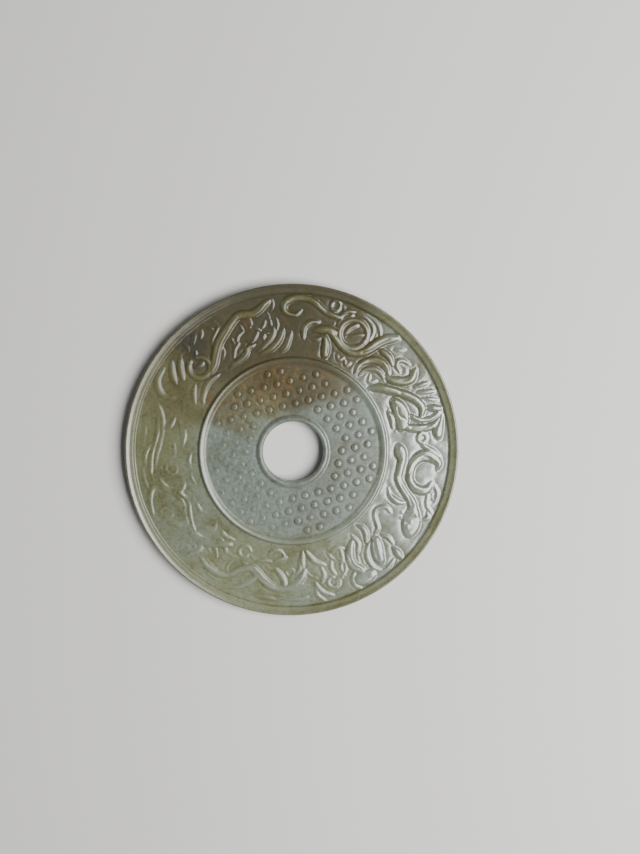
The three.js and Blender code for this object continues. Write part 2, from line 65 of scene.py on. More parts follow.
# Stations (angle in degrees, step across the band, half width in mm) of each carved strand.
STRANDS: dict[str, list[list[Station]]] = {
    "head_and_coil": [
        [(325.2, 23.5, 3.2), (328.5, 21.7, 4.6), (332.2, 20, 3.2)],
        [(332, 20.3, 2.6), (336, 17.3, 2.3), (338.4, 13.6, 2.1), (341, 9.8, 2.1), (345, 6, 2),
         (350, 5.7, 2), (355.5, 6, 2.3), (359, 5, 3), (361.6, 4.4, 2.2)],
        [(335.4, 14.5, 0.6), (334.1, 11.5, 1.4), (334.1, 8, 1.7), (335.4, 4.7, 1.3), (338.5, 2.4, 0.6)],
        [(346.3, 23.5, 1.2), (343.5, 22, 2.1), (342.6, 18.5, 2.4), (343.3, 14.8, 2.3), (346, 12, 2),
         (350, 11.3, 1.9), (354, 12.2, 2.2), (357, 15, 2.6), (357.8, 19, 2.8), (356.8, 23, 2.4),
         (354.8, 25.7, 1.8), (352.8, 25.3, 1.1)],
        [(357.5, 25.6, 1), (359.5, 22.8, 1.3), (361, 19.5, 1.3), (362.6, 16.8, 1.2)],
        [(335.7, 28.7, 0.8), (337.7, 24.9, 1.1), (341.5, 23.4, 0.9)],
        [(340.5, 28.6, 0.9), (343.4, 28.1, 1.2), (345.8, 25.6, 0.9)],
        [(331.6, 26.4, 1), (333.2, 28.3, 1.2), (334.8, 27, 0.8)],
    ],
    "leaf_and_haunch": [
        [(13.5, 29, 0.9), (10.5, 27, 1.9), (7.5, 25.2, 2.6), (5.3, 25.6, 1.6)],
        [(12.4, 27.6, 1.2), (10.6, 24.5, 1.7), (9.8, 20, 1.9), (10.2, 15.5, 2), (11.2, 11, 1.9),
         (13.4, 7.6, 1.6)],
        [(14.4, 27.5, 1.1), (13.2, 23.5, 1.3), (13.2, 19.5, 1.3), (14.2, 16, 1.4), (16.5, 13, 1.2)],
        [(16, 28.8, 1.4), (16.9, 25.6, 1.8), (17.8, 22.4, 1.1)],
        [(19.4, 28.8, 0.9), (20.6, 25.4, 1.2), (21.6, 21.8, 0.9)],
        [(23, 28.6, 1), (23.8, 25.2, 1.3), (24.8, 21.2, 1)],
        [(26.8, 27.6, 0.9), (27.2, 24.6, 1.2), (27.6, 20.8, 0.9)],
        [(15.6, 18.6, 1.3), (18.6, 20, 1.9), (22, 18.6, 2.1), (25.4, 15.6, 2.1), (28, 13, 2)],
        [(12.8, 7, 2.6), (17, 8.2, 3.8), (21.6, 8.4, 3.6), (25.6, 7.6, 2.4)],
        [(14, 2.4, 1.1), (17.5, 3, 1.6), (21.5, 2.7, 1.2)],
    ],
    "arched_claw": [
        [(27.6, 13, 1.7), (29.7, 11, 2.1), (32, 8.6, 2.2), (35, 5.8, 2.1), (37.5, 3, 1.8), (39, 1, 1.3)],
        [(33.2, 24.8, 1.3), (31.5, 21.5, 2.1), (31.8, 18, 2.2), (33.3, 15, 2.2), (35.5, 12.4, 2),
         (38, 11, 1.5)],
        [(37, 24.2, 0.8), (39.6, 22.8, 1.2), (40.4, 20.6, 1.3), (39.2, 18.5, 1.2), (37, 18.2, 0.9)],
        [(39.6, 13.2, 1.1), (42.5, 14.2, 1.7), (45.5, 14, 1.8), (48.5, 12, 1.8), (51, 8.8, 1.7),
         (52.4, 5, 1.5), (51.8, 1.6, 1.1)],
        [(38, 8.9, 0.8), (40.4, 9.7, 1.2), (43.5, 9.7, 1.3), (46.5, 8, 1.3), (48.7, 5.3, 1.2),
         (49, 2.2, 0.9)],
        [(40.6, 5, 0.9), (42.4, 2.5, 1.1), (44.4, 4.6, 0.8)],
        [(47.5, 28.4, 1.7), (50, 24.5, 2.3), (51.8, 20, 2.4), (52.9, 16, 2.3), (54.3, 12.4, 2.1),
         (57, 9.6, 1.8), (61, 8.2, 1.5)],
        [(41.6, 17.6, 1.1), (44.6, 18.7, 1.6), (48.4, 18.5, 1.4)],
        [(42.4, 27, 0.8), (44.4, 24, 0.9)],
    ],
    "round_loop": [
        [(63.2, 22, 1), (64.9, 19.8, 1.2), (66, 17, 1)],
        [(58.6, 19.4, 0.9), (60.7, 17.9, 1.1), (63.4, 15.4, 0.9)],
        [(56.5, 28, 0.8), (61, 29, 0.9), (66, 28, 0.8)],
        [(66, 27.8, 1), (68.4, 26.8, 1.3), (70, 24.8, 1.1)],
        [(70.2, 22.4, 1.1), (73, 22.2, 1.5), (76.5, 23, 1.5), (79, 24.6, 1.5), (81.5, 26.8, 1.6),
         (84.5, 28.2, 1.6), (88, 28.4, 1.7), (91.5, 27.2, 1.8), (93.4, 24.8, 1.7), (93.4, 22, 1.6),
         (91.5, 20, 1.3), (88.8, 19.8, 1), (87, 21.6, 0.9)],
        [(70, 14.2, 1.4), (73, 14.7, 1.8), (76.4, 13.8, 1.9), (79.5, 12.6, 1.2)],
        [(79, 17.2, 0.9), (82, 16.5, 1.3), (84.3, 14, 1.4), (85, 11, 1.4), (84.8, 8.5, 1)],
        [(76.2, 9.4, 0.9), (78.4, 8.1, 1.1), (80.6, 8.4, 0.8)],
        [(74.4, 10.4, 1.5), (72.9, 7, 2.1), (72, 3.6, 2.3), (71.6, 1.2, 1.7)],
        [(57.2, 2.9, 0.8), (58.6, 1.5, 1), (60.2, 2.7, 0.8)],
        [(62, 3.6, 0.8), (63.6, 2.2, 1), (65.2, 3.4, 0.8)],
    ],
    "long_body": [
        [(91, 10, 0.9), (92.2, 6.5, 1.4), (93.8, 3, 1.4), (96.4, 1.1, 1)],
        [(94.9, 11.6, 1.1), (95.9, 8.8, 1.6), (98, 6.2, 1.8), (100.9, 4, 1.8), (104, 2.7, 1.5),
         (108, 2, 1)],
        [(98.9, 13.6, 0.8), (99.2, 11.2, 1.2), (101.2, 8.2, 1.4), (105.9, 5.1, 1.2), (109.4, 3.9, 0.8)],
        [(99, 27.6, 1.2), (101, 26.2, 1.7), (103.7, 23.9, 1.9), (106.6, 23, 1.9), (109.2, 23.9, 1.9),
         (112, 24.4, 1.9), (115, 22.6, 1.9), (118, 20.6, 2.1), (120.5, 19, 2.2), (123.3, 17.2, 2.2),
         (126, 15, 2.2), (129, 12, 2.1), (132, 9.4, 1.9), (135.6, 7.8, 1.4)],
        [(110.4, 7.7, 1), (113.4, 7.3, 1.4), (115.4, 4.9, 1.5), (119, 3.7, 1.4), (123, 3.4, 1.3),
         (126.4, 3, 0.8)],
        [(116.6, 11.4, 0.8), (119.2, 9.8, 1), (121.5, 6.8, 0.8)],
        [(106.5, 13.2, 0.8), (108.2, 11.2, 1.1), (110, 9.9, 0.8)],
    ],
    "hair_and_curl": [
        [(140.5, 23.6, 1.2), (143, 21, 1.6), (145.5, 17.6, 1.3)],
        [(143.4, 26.2, 1.1), (146.8, 22.6, 1.6), (149, 19.4, 1.2)],
        [(147, 28, 1), (151.5, 27.9, 1.6), (154.8, 24.8, 1.8), (156, 20.5, 1.6), (155.2, 16.4, 1.2)],
        [(134, 4.4, 0.9), (138.5, 5.2, 1.4), (143, 4.9, 1.5), (148, 3.4, 1.3), (151.5, 1.6, 0.9)],
        [(145.6, 10, 0.9), (149.4, 8.2, 1.3), (153, 5.6, 0.9)],
    ],
    "winding_body": [
        [(160, 23.8, 1.3), (163, 21, 2.2), (167, 18.8, 2.4), (171.5, 18.2, 2.4), (176, 18.8, 2.3),
         (181, 20.6, 2.2), (186, 21.8, 2.2), (190.7, 21.2, 2.1), (194.6, 18.2, 2), (197.4, 14.4, 2),
         (200.6, 11.4, 2), (204.8, 10.3, 2), (209, 11.6, 2), (213.4, 13.9, 2.1), (218, 15.6, 2.2),
         (223, 15.4, 2.2), (227.5, 13.2, 2.1), (231.4, 10.2, 1.9), (235.4, 7.6, 1.4)],
        [(164.6, 9.4, 1.1), (167.8, 7.2, 1.6), (172, 5.9, 1.5), (176.4, 6.4, 1)],
        [(176, 10.6, 0.9), (180.4, 10.2, 1.2), (183, 12.4, 0.9)],
        [(181, 2, 0.9), (184.6, 3, 1.2), (188.6, 2.4, 0.9)],
        [(191, 3, 0.8), (194.4, 3.2, 1.1), (198, 2, 0.8)],
        [(186.6, 27, 0.8), (190.5, 27, 1.1), (194.4, 25.8, 0.8)],
        [(168.6, 26.6, 0.9), (172.4, 26.2, 1.3), (177, 27, 0.9)],
        [(208.4, 5.6, 0.9), (211.6, 5.8, 1.3), (215.4, 4.8, 0.9)],
        [(169.6, 17, 1.2), (167.4, 13.8, 1.5), (163.6, 12.6, 1)],
        [(192.6, 19.4, 1.2), (194.4, 24.2, 1.6), (198.6, 27.2, 1.4), (203.4, 28.2, 0.9)],
        [(199.8, 12, 1.2), (196.6, 8.4, 1.5), (192, 7.4, 1.2), (189.6, 5.6, 0.8)],
        [(214, 14.6, 1.3), (212.4, 18.8, 1.6), (209.6, 22.4, 1.4)],
        [(219.4, 14.8, 1.2), (220.6, 10, 1.6), (223.8, 6.6, 1.5), (222, 3.4, 1)],
        [(224.8, 16, 1.2), (226, 20.4, 1.5), (224.4, 25.4, 1.1)],
        [(176, 22, 0.8), (180.4, 25.2, 1.3), (184.4, 25.6, 0.8)],
        [(205.6, 6.4, 0.8), (202, 3.6, 1.2), (199.6, 5.6, 0.8)],
        [(229, 22.4, 0.9), (233, 23.8, 1.5), (238, 23.9, 1.6), (242.4, 21.8, 1.4), (244.6, 18, 1.5),
         (247.4, 15, 1.8), (250.7, 13.7, 2), (254, 15.4, 2.1), (257.5, 18.6, 2.1), (261.5, 21, 2),
         (266, 21.6, 1.9), (270.4, 19.7, 1.9), (273.4, 16.4, 1.8), (275, 12.8, 1.3)],
        [(228, 4.6, 0.9), (231.5, 5.4, 1.3), (235.5, 4.4, 0.9)],
    ],
    "disc_and_hook": [
        [(274.6, 9.7, 1), (274.6, 6, 1.4), (275, 2.8, 1)],
        [(284.8, 10.7, 1), (281.4, 8.4, 1.4), (279.3, 5.6, 1.4), (277.4, 2.6, 1)],
        [(279.6, 20, 0.9), (280.6, 23, 1.3), (282.4, 25.8, 1.3), (285, 27.6, 0.9)],
        [(288.6, 17, 0.9), (287.8, 14, 1.2), (288.6, 11, 0.9)],
        [(297, 25.4, 2.6), (299.4, 25.9, 3.5), (302, 26.2, 2.6)],
        [(299.8, 21.4, 2), (297.8, 17.4, 2.4), (297.6, 13, 2.3), (299.8, 9, 2), (302.5, 6, 1.3)],
        [(290.4, 5.6, 0.9), (293.4, 4.8, 1.2), (296.4, 6, 0.9)],
        [(308.4, 23.4, 1.9), (309.2, 19.8, 2.9), (310.8, 16, 3.1), (312.8, 12.8, 2.1)],
        [(315.2, 28.8, 1.3), (315.5, 26, 1.9), (315.8, 23.4, 1.3)],
        [(308.8, 10.2, 0.9), (311.2, 6.8, 1.5), (312, 3.6, 1.4), (311, 1.2, 0.9)],
        [(314.8, 10.2, 0.9), (317.5, 9.2, 1.2), (319.5, 6.2, 1.2), (321.4, 3.6, 1.2), (324.2, 2.4, 1.2),
         (327, 3.5, 1.2), (328.7, 6, 1.2), (327.8, 8.8, 1)],
        [(317, 20, 0.9), (317.5, 16.8, 1.2), (316.6, 14, 0.9)],
        [(254.4, 16.4, 1.2), (251.6, 20.6, 1.6), (248, 25.4, 1.4), (244.4, 27.8, 0.9)],
        [(266.6, 20.4, 1.2), (265, 15.4, 1.6), (262, 12, 1.2)],
        [(304.6, 27.8, 0.8), (308.4, 28.6, 1.1), (312, 27.4, 0.8)],
        [(292.4, 10.4, 0.8), (294.6, 13.6, 1.1), (293.6, 17.4, 0.9), (290.8, 20.4, 0.7)],
        [(302.4, 12, 0.9), (305, 8.4, 1.2), (304.6, 4, 1)],
        [(252, 9.6, 0.8), (255, 8, 1.1), (258.6, 8, 0.8)],
        [(260, 8, 0.8), (262.7, 6.3, 1.2), (266, 4.8, 0.8)],
        [(255.4, 27.2, 0.8), (259.5, 27, 1.2), (263.5, 27.4, 0.8)],
        [(267.6, 26.6, 0.8), (271.5, 27.2, 1.2), (275.2, 26.2, 0.8)],
    ],
}

# Stations (x, y, half width in mm) of the strands that cross the band or wind round a scroll.
SCROLLS: dict[str, list[list[Station]]] = {
    "loop": [
        [(32, 49.8, 1.9), (28, 50.8, 1.9), (24.4, 53.6, 1.8), (22, 56.8, 1.8), (19.6, 60, 1.9),
         (16.8, 62, 2.0), (13.6, 62.4, 1.6)],
        [(32.6, 69.6, 0.8), (37, 67.8, 1.0), (40.2, 64.2, 1.0), (40.8, 60.6, 0.9), (39, 57.2, 0.9)],
        [(40.4, 67.4, 0.9), (43, 64.6, 1.1), (44.2, 61.6, 1.1), (44.4, 58.6, 0.8)],
        [(22.6, 63.8, 0.8), (23.8, 66, 0.9), (26.6, 68, 0.9), (30, 68.8, 0.8)],
        [(25.8, 73.2, 0.9), (26.4, 70.8, 1.1), (24.8, 69, 0.9)],
    ],
    "brow": [
        [(-21.8, 67, 0.8), (-21, 65.2, 0.9), (-21.8, 63, 0.7)],
        [(-14.2, 66.4, 0.8), (-14.6, 64.4, 1.0), (-15.8, 62.8, 0.8)],
        [(-19.8, 63.6, 0.8), (-18.2, 62.6, 1.0), (-16.6, 61.6, 0.8)],
        [(-11.4, 66.6, 0.7), (-11.2, 64.4, 0.8)],
        [(-25.2, 61, 0.8), (-27.6, 58.8, 1.1), (-28.2, 56.4, 0.9)],
        [(-24, 54.6, 0.7), (-25, 52.6, 1.0), (-27.2, 51, 0.9)],
    ],
    "medallion": [
        [(-45.4, 46.6, 0.8), (-45.6, 44.9, 1.2), (-47.2, 43.6, 1.2), (-49.2, 43, 0.8)],
        [(-50.4, 60, 0.6), (-50.8, 57.4, 0.8), (-51.2, 54.2, 0.6)],
        [(-48.9, 60.4, 0.6), (-49.4, 57.4, 0.8), (-50, 54.4, 0.6)],
        [(-46.2, 62, 0.8), (-45.8, 59.8, 1.1), (-46.4, 57.8, 0.8)],
        [(-49, 51.2, 0.8), (-48.8, 49, 1.1), (-49.9, 46.9, 0.8)],
        [(-42, 65.6, 0.7), (-40.6, 65.6, 0.9), (-38.8, 65, 0.7)],
        [(-43, 62.8, 0.7), (-41.4, 62.6, 0.9), (-39.8, 61.8, 0.7)],
        [(-37.4, 63.4, 0.7), (-38.8, 60.6, 1.0), (-40.2, 57.6, 0.9), (-41, 54.2, 0.7)],
    ],
    "lower_waves": [
        [(-50.6, -46.6, 0.7), (-50.2, -49, 0.9), (-49.4, -51.4, 0.6)],
        [(-48, -45.6, 0.7), (-46.8, -50, 0.8)],
        [(-44, -47.6, 0.7), (-42.6, -51.2, 0.8)],
        [(-40.8, -46.8, 0.8), (-39.6, -50.4, 1.0), (-39.2, -54, 0.7)],
        [(-36.8, -44.6, 0.9), (-35.2, -48, 1.3), (-34.4, -51.8, 0.9)],
        [(-25.8, -57, 0.9), (-21.8, -60, 1.4), (-18.8, -64.2, 1.4), (-15, -68.4, 1)],
        [(-28.6, -66.2, 0.9), (-24.8, -66.6, 1.2), (-21.8, -64.6, 0.8)],
        [(-12.4, -52.4, 0.9), (-9.4, -50.8, 1.2), (-6, -52, 1), (-4.4, -54.8, 0.8)],
        [(3.2, -56.6, 0.9), (3.4, -60.4, 1.3), (1.2, -63.4, 0.9)],
        [(11.6, -71, 0.9), (12.6, -74.8, 1.3), (16, -77.2, 0.9)],
        [(14.4, -60.6, 0.9), (15.8, -64.2, 1.3), (14.6, -68, 0.9)],
        [(24.4, -51.4, 0.9), (25.4, -56, 1.3), (24.6, -60.4, 1.1), (26.4, -64, 0.8)],
        [(31.8, -62.6, 1), (30.8, -66.4, 1.4), (32.4, -70.2, 1.3), (36.4, -71.8, 0.9)],
        [(39.2, -47.8, 1), (38, -52.4, 1.4), (39, -57, 1.5), (42, -60.8, 1.3), (46.2, -62.4, 0.9)],
    ],
}

# Low ripples between the strands, by stations (x, y, half width in mm).
RIPPLES: list[list[Station]] = [
    [(-44, -55.6, 0.8), (-41.6, -58.6, 1.2), (-38.6, -61.4, 0.8)],
    [(-31, -56, 0.7), (-33.6, -58, 1), (-34, -61.4, 0.9), (-31.4, -63.4, 0.7)],
    [(-33.8, -50.6, 0.7), (-31.8, -53.4, 1), (-28.8, -54.4, 0.8)],
    [(-22, -53.4, 0.7), (-20, -55.6, 1), (-17, -56.4, 0.8)],
    [(-14.2, -58.6, 0.7), (-12, -60.6, 1), (-9.2, -60.6, 0.8)],
    [(-9.6, -57.6, 0.7), (-7.4, -56, 1), (-4.2, -54, 0.7)],
    [(-18.6, -74.6, 0.9), (-16.4, -75.4, 1.1), (-13.8, -75.8, 0.8)],
    [(-8.6, -75.8, 0.9), (-6.6, -76.2, 1.1), (-4.4, -76.2, 0.8)],
    [(26, -63, 0.4), (27.5, -65.4, 0.5)], [(27.2, -62.4, 0.4), (28.7, -64.8, 0.5)],
    [(28.4, -62, 0.4), (29.7, -64.2, 0.5)], [(33.2, -54.6, 0.7), (34, -57.6, 0.9)],
    [(23.4, -65.8, 0.8), (24, -68.6, 1.1), (22.4, -71, 0.8)],
    [(-46, -60.2, 0.7), (-42.6, -63.6, 0.9), (-38, -66.4, 0.7)],
    [(-36.4, -70, 0.7), (-31.6, -72.4, 0.9), (-27, -74, 0.7)],
    [(1.6, -66.6, 0.7), (4.4, -69, 1), (8, -69.4, 0.8)],
    [(6.6, -62, 0.7), (8.8, -64.6, 1), (12, -65.6, 0.7)],
    [(17.6, -52.6, 0.7), (19.6, -55.2, 1), (22, -56.6, 0.7)],
    [(-40, 67.2, 0.7), (-38.4, 65.2, 0.9), (-36.8, 63.4, 0.7)],
    [(-10.4, 77.6, 0.7), (-10, 74.4, 1), (-11, 71.4, 0.7)],
    [(-13.4, 70.6, 0.7), (-12, 68.4, 0.9), (-13, 66.6, 0.7)],
    [(-8.6, 67.6, 0.8), (-7.8, 64.6, 1.1), (-8.4, 61.6, 0.8)],
    [(-31.4, 57.8, 0.8), (-29.8, 55.4, 1), (-29.6, 52.6, 0.8)],
    [(-54.6, 54.6, 0.8), (-52.8, 53, 1), (-52.6, 50.6, 0.7)],
    [(-35.8, 53.8, 0.8), (-34.8, 50.6, 1.1), (-35.4, 47.6, 0.8)],
    [(-27, 64.4, 0.8), (-25.4, 62, 1)],
    [(-24.8, 69, 0.7), (-22.6, 67.6, 0.9), (-22.4, 65, 0.7)],
    [(-57.2, 47.6, 0.8), (-56, 50, 0.9), (-54, 50.8, 0.7)],
    [(-56.6, 27, 0.8), (-55.4, 23.4, 1.1), (-55.8, 19.8, 0.9)],
]

# Small round bumps (x, y, radius in mm): the lower head's brow and jaw, and the middles of two curls.
BUMPS: list[Station] = [
    (56, -32, 0.9), (55.8, -34.9, 1), (57.2, -37.5, 1), (60.4, -37, 0.9), (58.9, -39.4, 0.9),
    (63.6, -33.8, 1), (65, 6.8, 0.9), (-14.4, 58.4, 1),
]

# Fine cut lines (angle, step, half width in mm) that run over the raised strands.
CUTS: list[list[Station]] = [
    [(349, 11.2, 0.3), (354, 13, 0.35), (356.6, 16, 0.4), (357, 19, 0.4), (354.7, 24.6, 0.3)],
    [(6, 23.2, 0.3), (8.5, 24.2, 0.35), (12.5, 27.8, 0.3)],
    [(10.4, 22, 0.3), (9.9, 17, 0.35), (11, 11.6, 0.3)],
    [(35, 22.5, 0.3), (32.2, 19.4, 0.35), (33.6, 15.8, 0.35), (37.4, 12, 0.3)],
    [(49.6, 25.6, 0.3), (51.6, 20.4, 0.35), (52.8, 16, 0.35), (55, 11.6, 0.3)],
    [(41, 13.4, 0.3), (45.5, 13.6, 0.35), (49.6, 10.4, 0.35), (51.8, 5.4, 0.3)],
    [(335, 18.4, 0.3), (338.4, 13.8, 0.35), (341.6, 9.2, 0.35), (346, 6, 0.3)],
    [(118, 20.6, 0.3), (123.3, 17.4, 0.35), (128, 13, 0.35), (132, 9.6, 0.3)],
    [(102, 25.4, 0.3), (106.5, 23.2, 0.35), (112, 24.4, 0.3)],
    [(76, 22.8, 0.3), (81, 26.2, 0.35), (87, 28.4, 0.35), (92, 26.6, 0.3)],
    [(165, 19.8, 0.3), (172, 18.2, 0.35), (180, 20.2, 0.35), (188, 21.8, 0.3)],
    [(199, 13, 0.3), (205, 10.4, 0.35), (212, 13.2, 0.35), (219, 15.6, 0.3)],
    [(250.7, 13.9, 0.3), (257.5, 18.6, 0.35), (264, 21.5, 0.3)],
    [(308, 21, 0.3), (309.4, 17.4, 0.35), (311.2, 13.4, 0.3)],
    [(310.6, 21.4, 0.3), (312, 17.6, 0.35), (313.6, 14.4, 0.3)],
    [(299.4, 20.6, 0.3), (297.6, 16.6, 0.35), (298, 11.4, 0.3)],
    [(72.9, 9.8, 0.3), (71.8, 6, 0.35), (71, 2.4, 0.3)],
    [(75.2, 8.8, 0.3), (74, 5.4, 0.35), (73.4, 2.2, 0.3)],
    [(15.6, 10, 0.3), (18.4, 7.4, 0.35), (22.6, 7.6, 0.3)],
]

# Radius and height in mm of the turned front: lip, field, raised ring, band and rim.
FRONT_PROFILE: list[tuple[float, float]] = [
    (15.4, 6.4), (15.7, 6.95), (16.2, 7.3), (16.9, 7.4), (17.5, 7.25), (18, 6.8), (18.5, 6.4),
    (19, 6.28), (19.5, 6.32), (20, 6.4), (43.2, 6.4), (44.2, 6.36), (45, 6.7), (45.6, 7.05),
    (46.2, 7.32), (47, 7.52), (47.3, 7.5), (47.6, 7.25), (48.2, 6.45), (48.5, 6.31), (50.2, 6.3),
    (79.6, 6.3), (79.9, 6.3), (80.3, 6.65), (80.6, 7.05), (80.9, 7.2), (82.6, 7.42), (84, 7.96),
    (84.2, 8), (84.5, 7.86), (84.8, 7.4), (85, 6.8),
]

# Radius and height in mm of the plain back.
BACK_PROFILE: list[tuple[float, float]] = [
    (15.4, 0.75), (15.8, 0.35), (16.3, 0.12), (17.4, 0.12), (17.9, 0.35), (18.4, 0.6), (44.8, 0.6),
    (45.3, 0.45), (45.9, 0.2), (46.5, 0.1), (47.1, 0.2), (47.7, 0.45), (48.2, 0.6), (79.6, 0.6),
    (80.2, 0.3), (80.8, 0), (83.4, 0), (84.1, 0.12), (84.7, 0.5), (85, 1.1),
]


@dataclass(frozen=True)
class Curl:
    """One spiral of the relief, given by its centre in the band.

    Args:
        angle: angle of the centre in degrees.
        step: step of the centre across the band.
        radius: radius of the strand's middle line in mm.
        half: half width of the strand in mm.
        start: where the strand starts, in degrees.
        sweep: how far it runs round, in degrees.
        close: how much of the radius it loses on the way.
    """

    angle: float
    step: float
    radius: float
    half: float
    start: float
    sweep: float
    close: float = 0.25


CURLS = (
    Curl(62.9, 17.2, 7.2, 1.5, 340, 350, 0.04), Curl(137.4, 13.8, 5.6, 1.6, 150, 320, 0.1),
    Curl(5.6, 16.8, 2.4, 1.2, 20, 330, 0.1), Curl(73.6, 27.3, 2.5, 1.1, 30, 320, 0.15),
    Curl(339.7, 26.9, 1.7, 0.8, 200, 270), Curl(103, 9.7, 2.1, 0.9, 60, 300),
    Curl(187.5, 12.2, 3.3, 1.1, 100, 300),
    Curl(205.5, 21.6, 3.6, 1.2, 40, 310), Curl(221.5, 24.6, 2.4, 1.0, 250, 290),
    Curl(244, 7.2, 3.2, 1.1, 10, 300), Curl(286.8, 21.4, 2.8, 1.0, 90, 300),
    Curl(268.6, 12.6, 2.2, 0.9, 180, 300),
)


def smoothstep(low: float, high: float, value: np.ndarray) -> np.ndarray:
    """An even ramp from 0 at low to 1 at high.

    Args:
        low: where the ramp starts.
        high: where it ends.
        value: the numbers to ramp.

    Returns:
        The ramped numbers.
    """
    t = np.clip((value - low) / (high - low), 0.0, 1.0)
    return t * t * (3.0 - 2.0 * t)


def smooth_path(points: np.ndarray, pace: float = 0.45) -> np.ndarray:
    """A rounded path through rows of x, y and half width.

    Args:
        points: rows of x, y and half width in mm.
        pace: distance between the new rows in mm.

    Returns:
        Rows of x, y and half width, close together.
    """
    if len(points) < 3:
        t = np.linspace(0.0, 1.0, 9)[:, None]
        return points[0] * (1 - t) + points[-1] * t
    padded = np.vstack([2 * points[0] - points[1], points, 2 * points[-1] - points[-2]])
    rows = []
    for a, b, c, d in zip(padded, padded[1:], padded[2:], padded[3:]):
        count = max(3, int(np.hypot(*(c - b)[:2]) / pace))
        t = np.linspace(0.0, 1.0, count, endpoint=False)[:, None]
        rows.append(0.5 * (2 * b + (c - a) * t + (2 * a - 5 * b + 4 * c - d) * t ** 2
                           + (3 * b - a - 3 * c + d) * t ** 3))
    rows.append(points[-1:])
    path = np.vstack(rows)
    path[:, 2] = np.maximum(path[:, 2], 0.15)
    return path


def tapered(points: np.ndarray) -> np.ndarray:
    """The rows of a strand with a drawn-out tip at each end.

    Args:
        points: rows of x, y and half width in mm.

    Returns:
        The rows with one more at each end.
    """
    tips = []
    for end, inner in ((points[0], points[1]), (points[-1], points[-2])):
        way = (end - inner)[:2] / max(np.hypot(*(end - inner)[:2]), 1e-6)
        long, thin = (1.7, 0.16) if end[2] < 1.5 else (0.7, 0.42)
        tips.append(np.append(end[:2] + way * end[2] * long, end[2] * thin))
    return np.vstack([tips[0], points, tips[1]])


def reach(x: np.ndarray, y: np.ndarray, path: np.ndarray) -> tuple[np.ndarray, np.ndarray, np.ndarray]:
    """How far places are from a path.

    Args:
        x: places' x in mm.
        y: places' y in mm.
        path: rows of x, y and half width.

    Returns:
        The distance over the half width, the distance beyond the strand's edge in mm, and the half
        width there, below nought on the strand's right hand.
    """
    start, run = path[:-1], np.diff(path, axis=0)
    px, py = x[:, None] - start[:, 0], y[:, None] - start[:, 1]
    long = np.maximum(run[:, 0] ** 2 + run[:, 1] ** 2, 1e-9)
    t = np.clip((px * run[:, 0] + py * run[:, 1]) / long, 0.0, 1.0)
    gap = np.hypot(px - t * run[:, 0], py - t * run[:, 1])
    half = start[:, 2] + t * run[:, 2]
    over = gap / half
    row, near = np.arange(len(x)), over.argmin(axis=1)
    hand = np.sign(run[near, 0] * py[row, near] - run[near, 1] * px[row, near])
    return over[row, near], (gap - half).min(axis=1), half[row, near] * hand


def note(mesh: bpy.types.Mesh, name: str, values: np.ndarray) -> None:
    """Keeps one number for each point of a mesh."""
    mesh.attributes.new(name, "FLOAT", "POINT").data.foreach_set("value", values.astype(np.float32))


@dataclass(frozen=True)
class Waves:
    """Slow even waves of many directions, as hand polishing leaves.

    Args:
        height: their height in mm, or the share that they add.
        length: rough length of one in mm.
        seed: which waves.
    """

    height: float
    length: float
    seed: int

    def at(self, x: np.ndarray, y: np.ndarray) -> np.ndarray:
        """The waves' heights.

        Args:
            x: places' x in mm.
            y: places' y in mm.

        Returns:
            Heights from about minus to plus the waves' height.
        """
        draw = np.random.default_rng(self.seed)
        total = np.zeros_like(x)
        for _ in range(9):
            turn, phase = draw.uniform(0, 2 * math.pi, 2)
            pitch = 2 * math.pi / (self.length * draw.uniform(0.6, 1.7))
            total += np.sin(pitch * (x * math.cos(turn) + y * math.sin(turn)) + phase)
        return self.height * (total / 4.0)


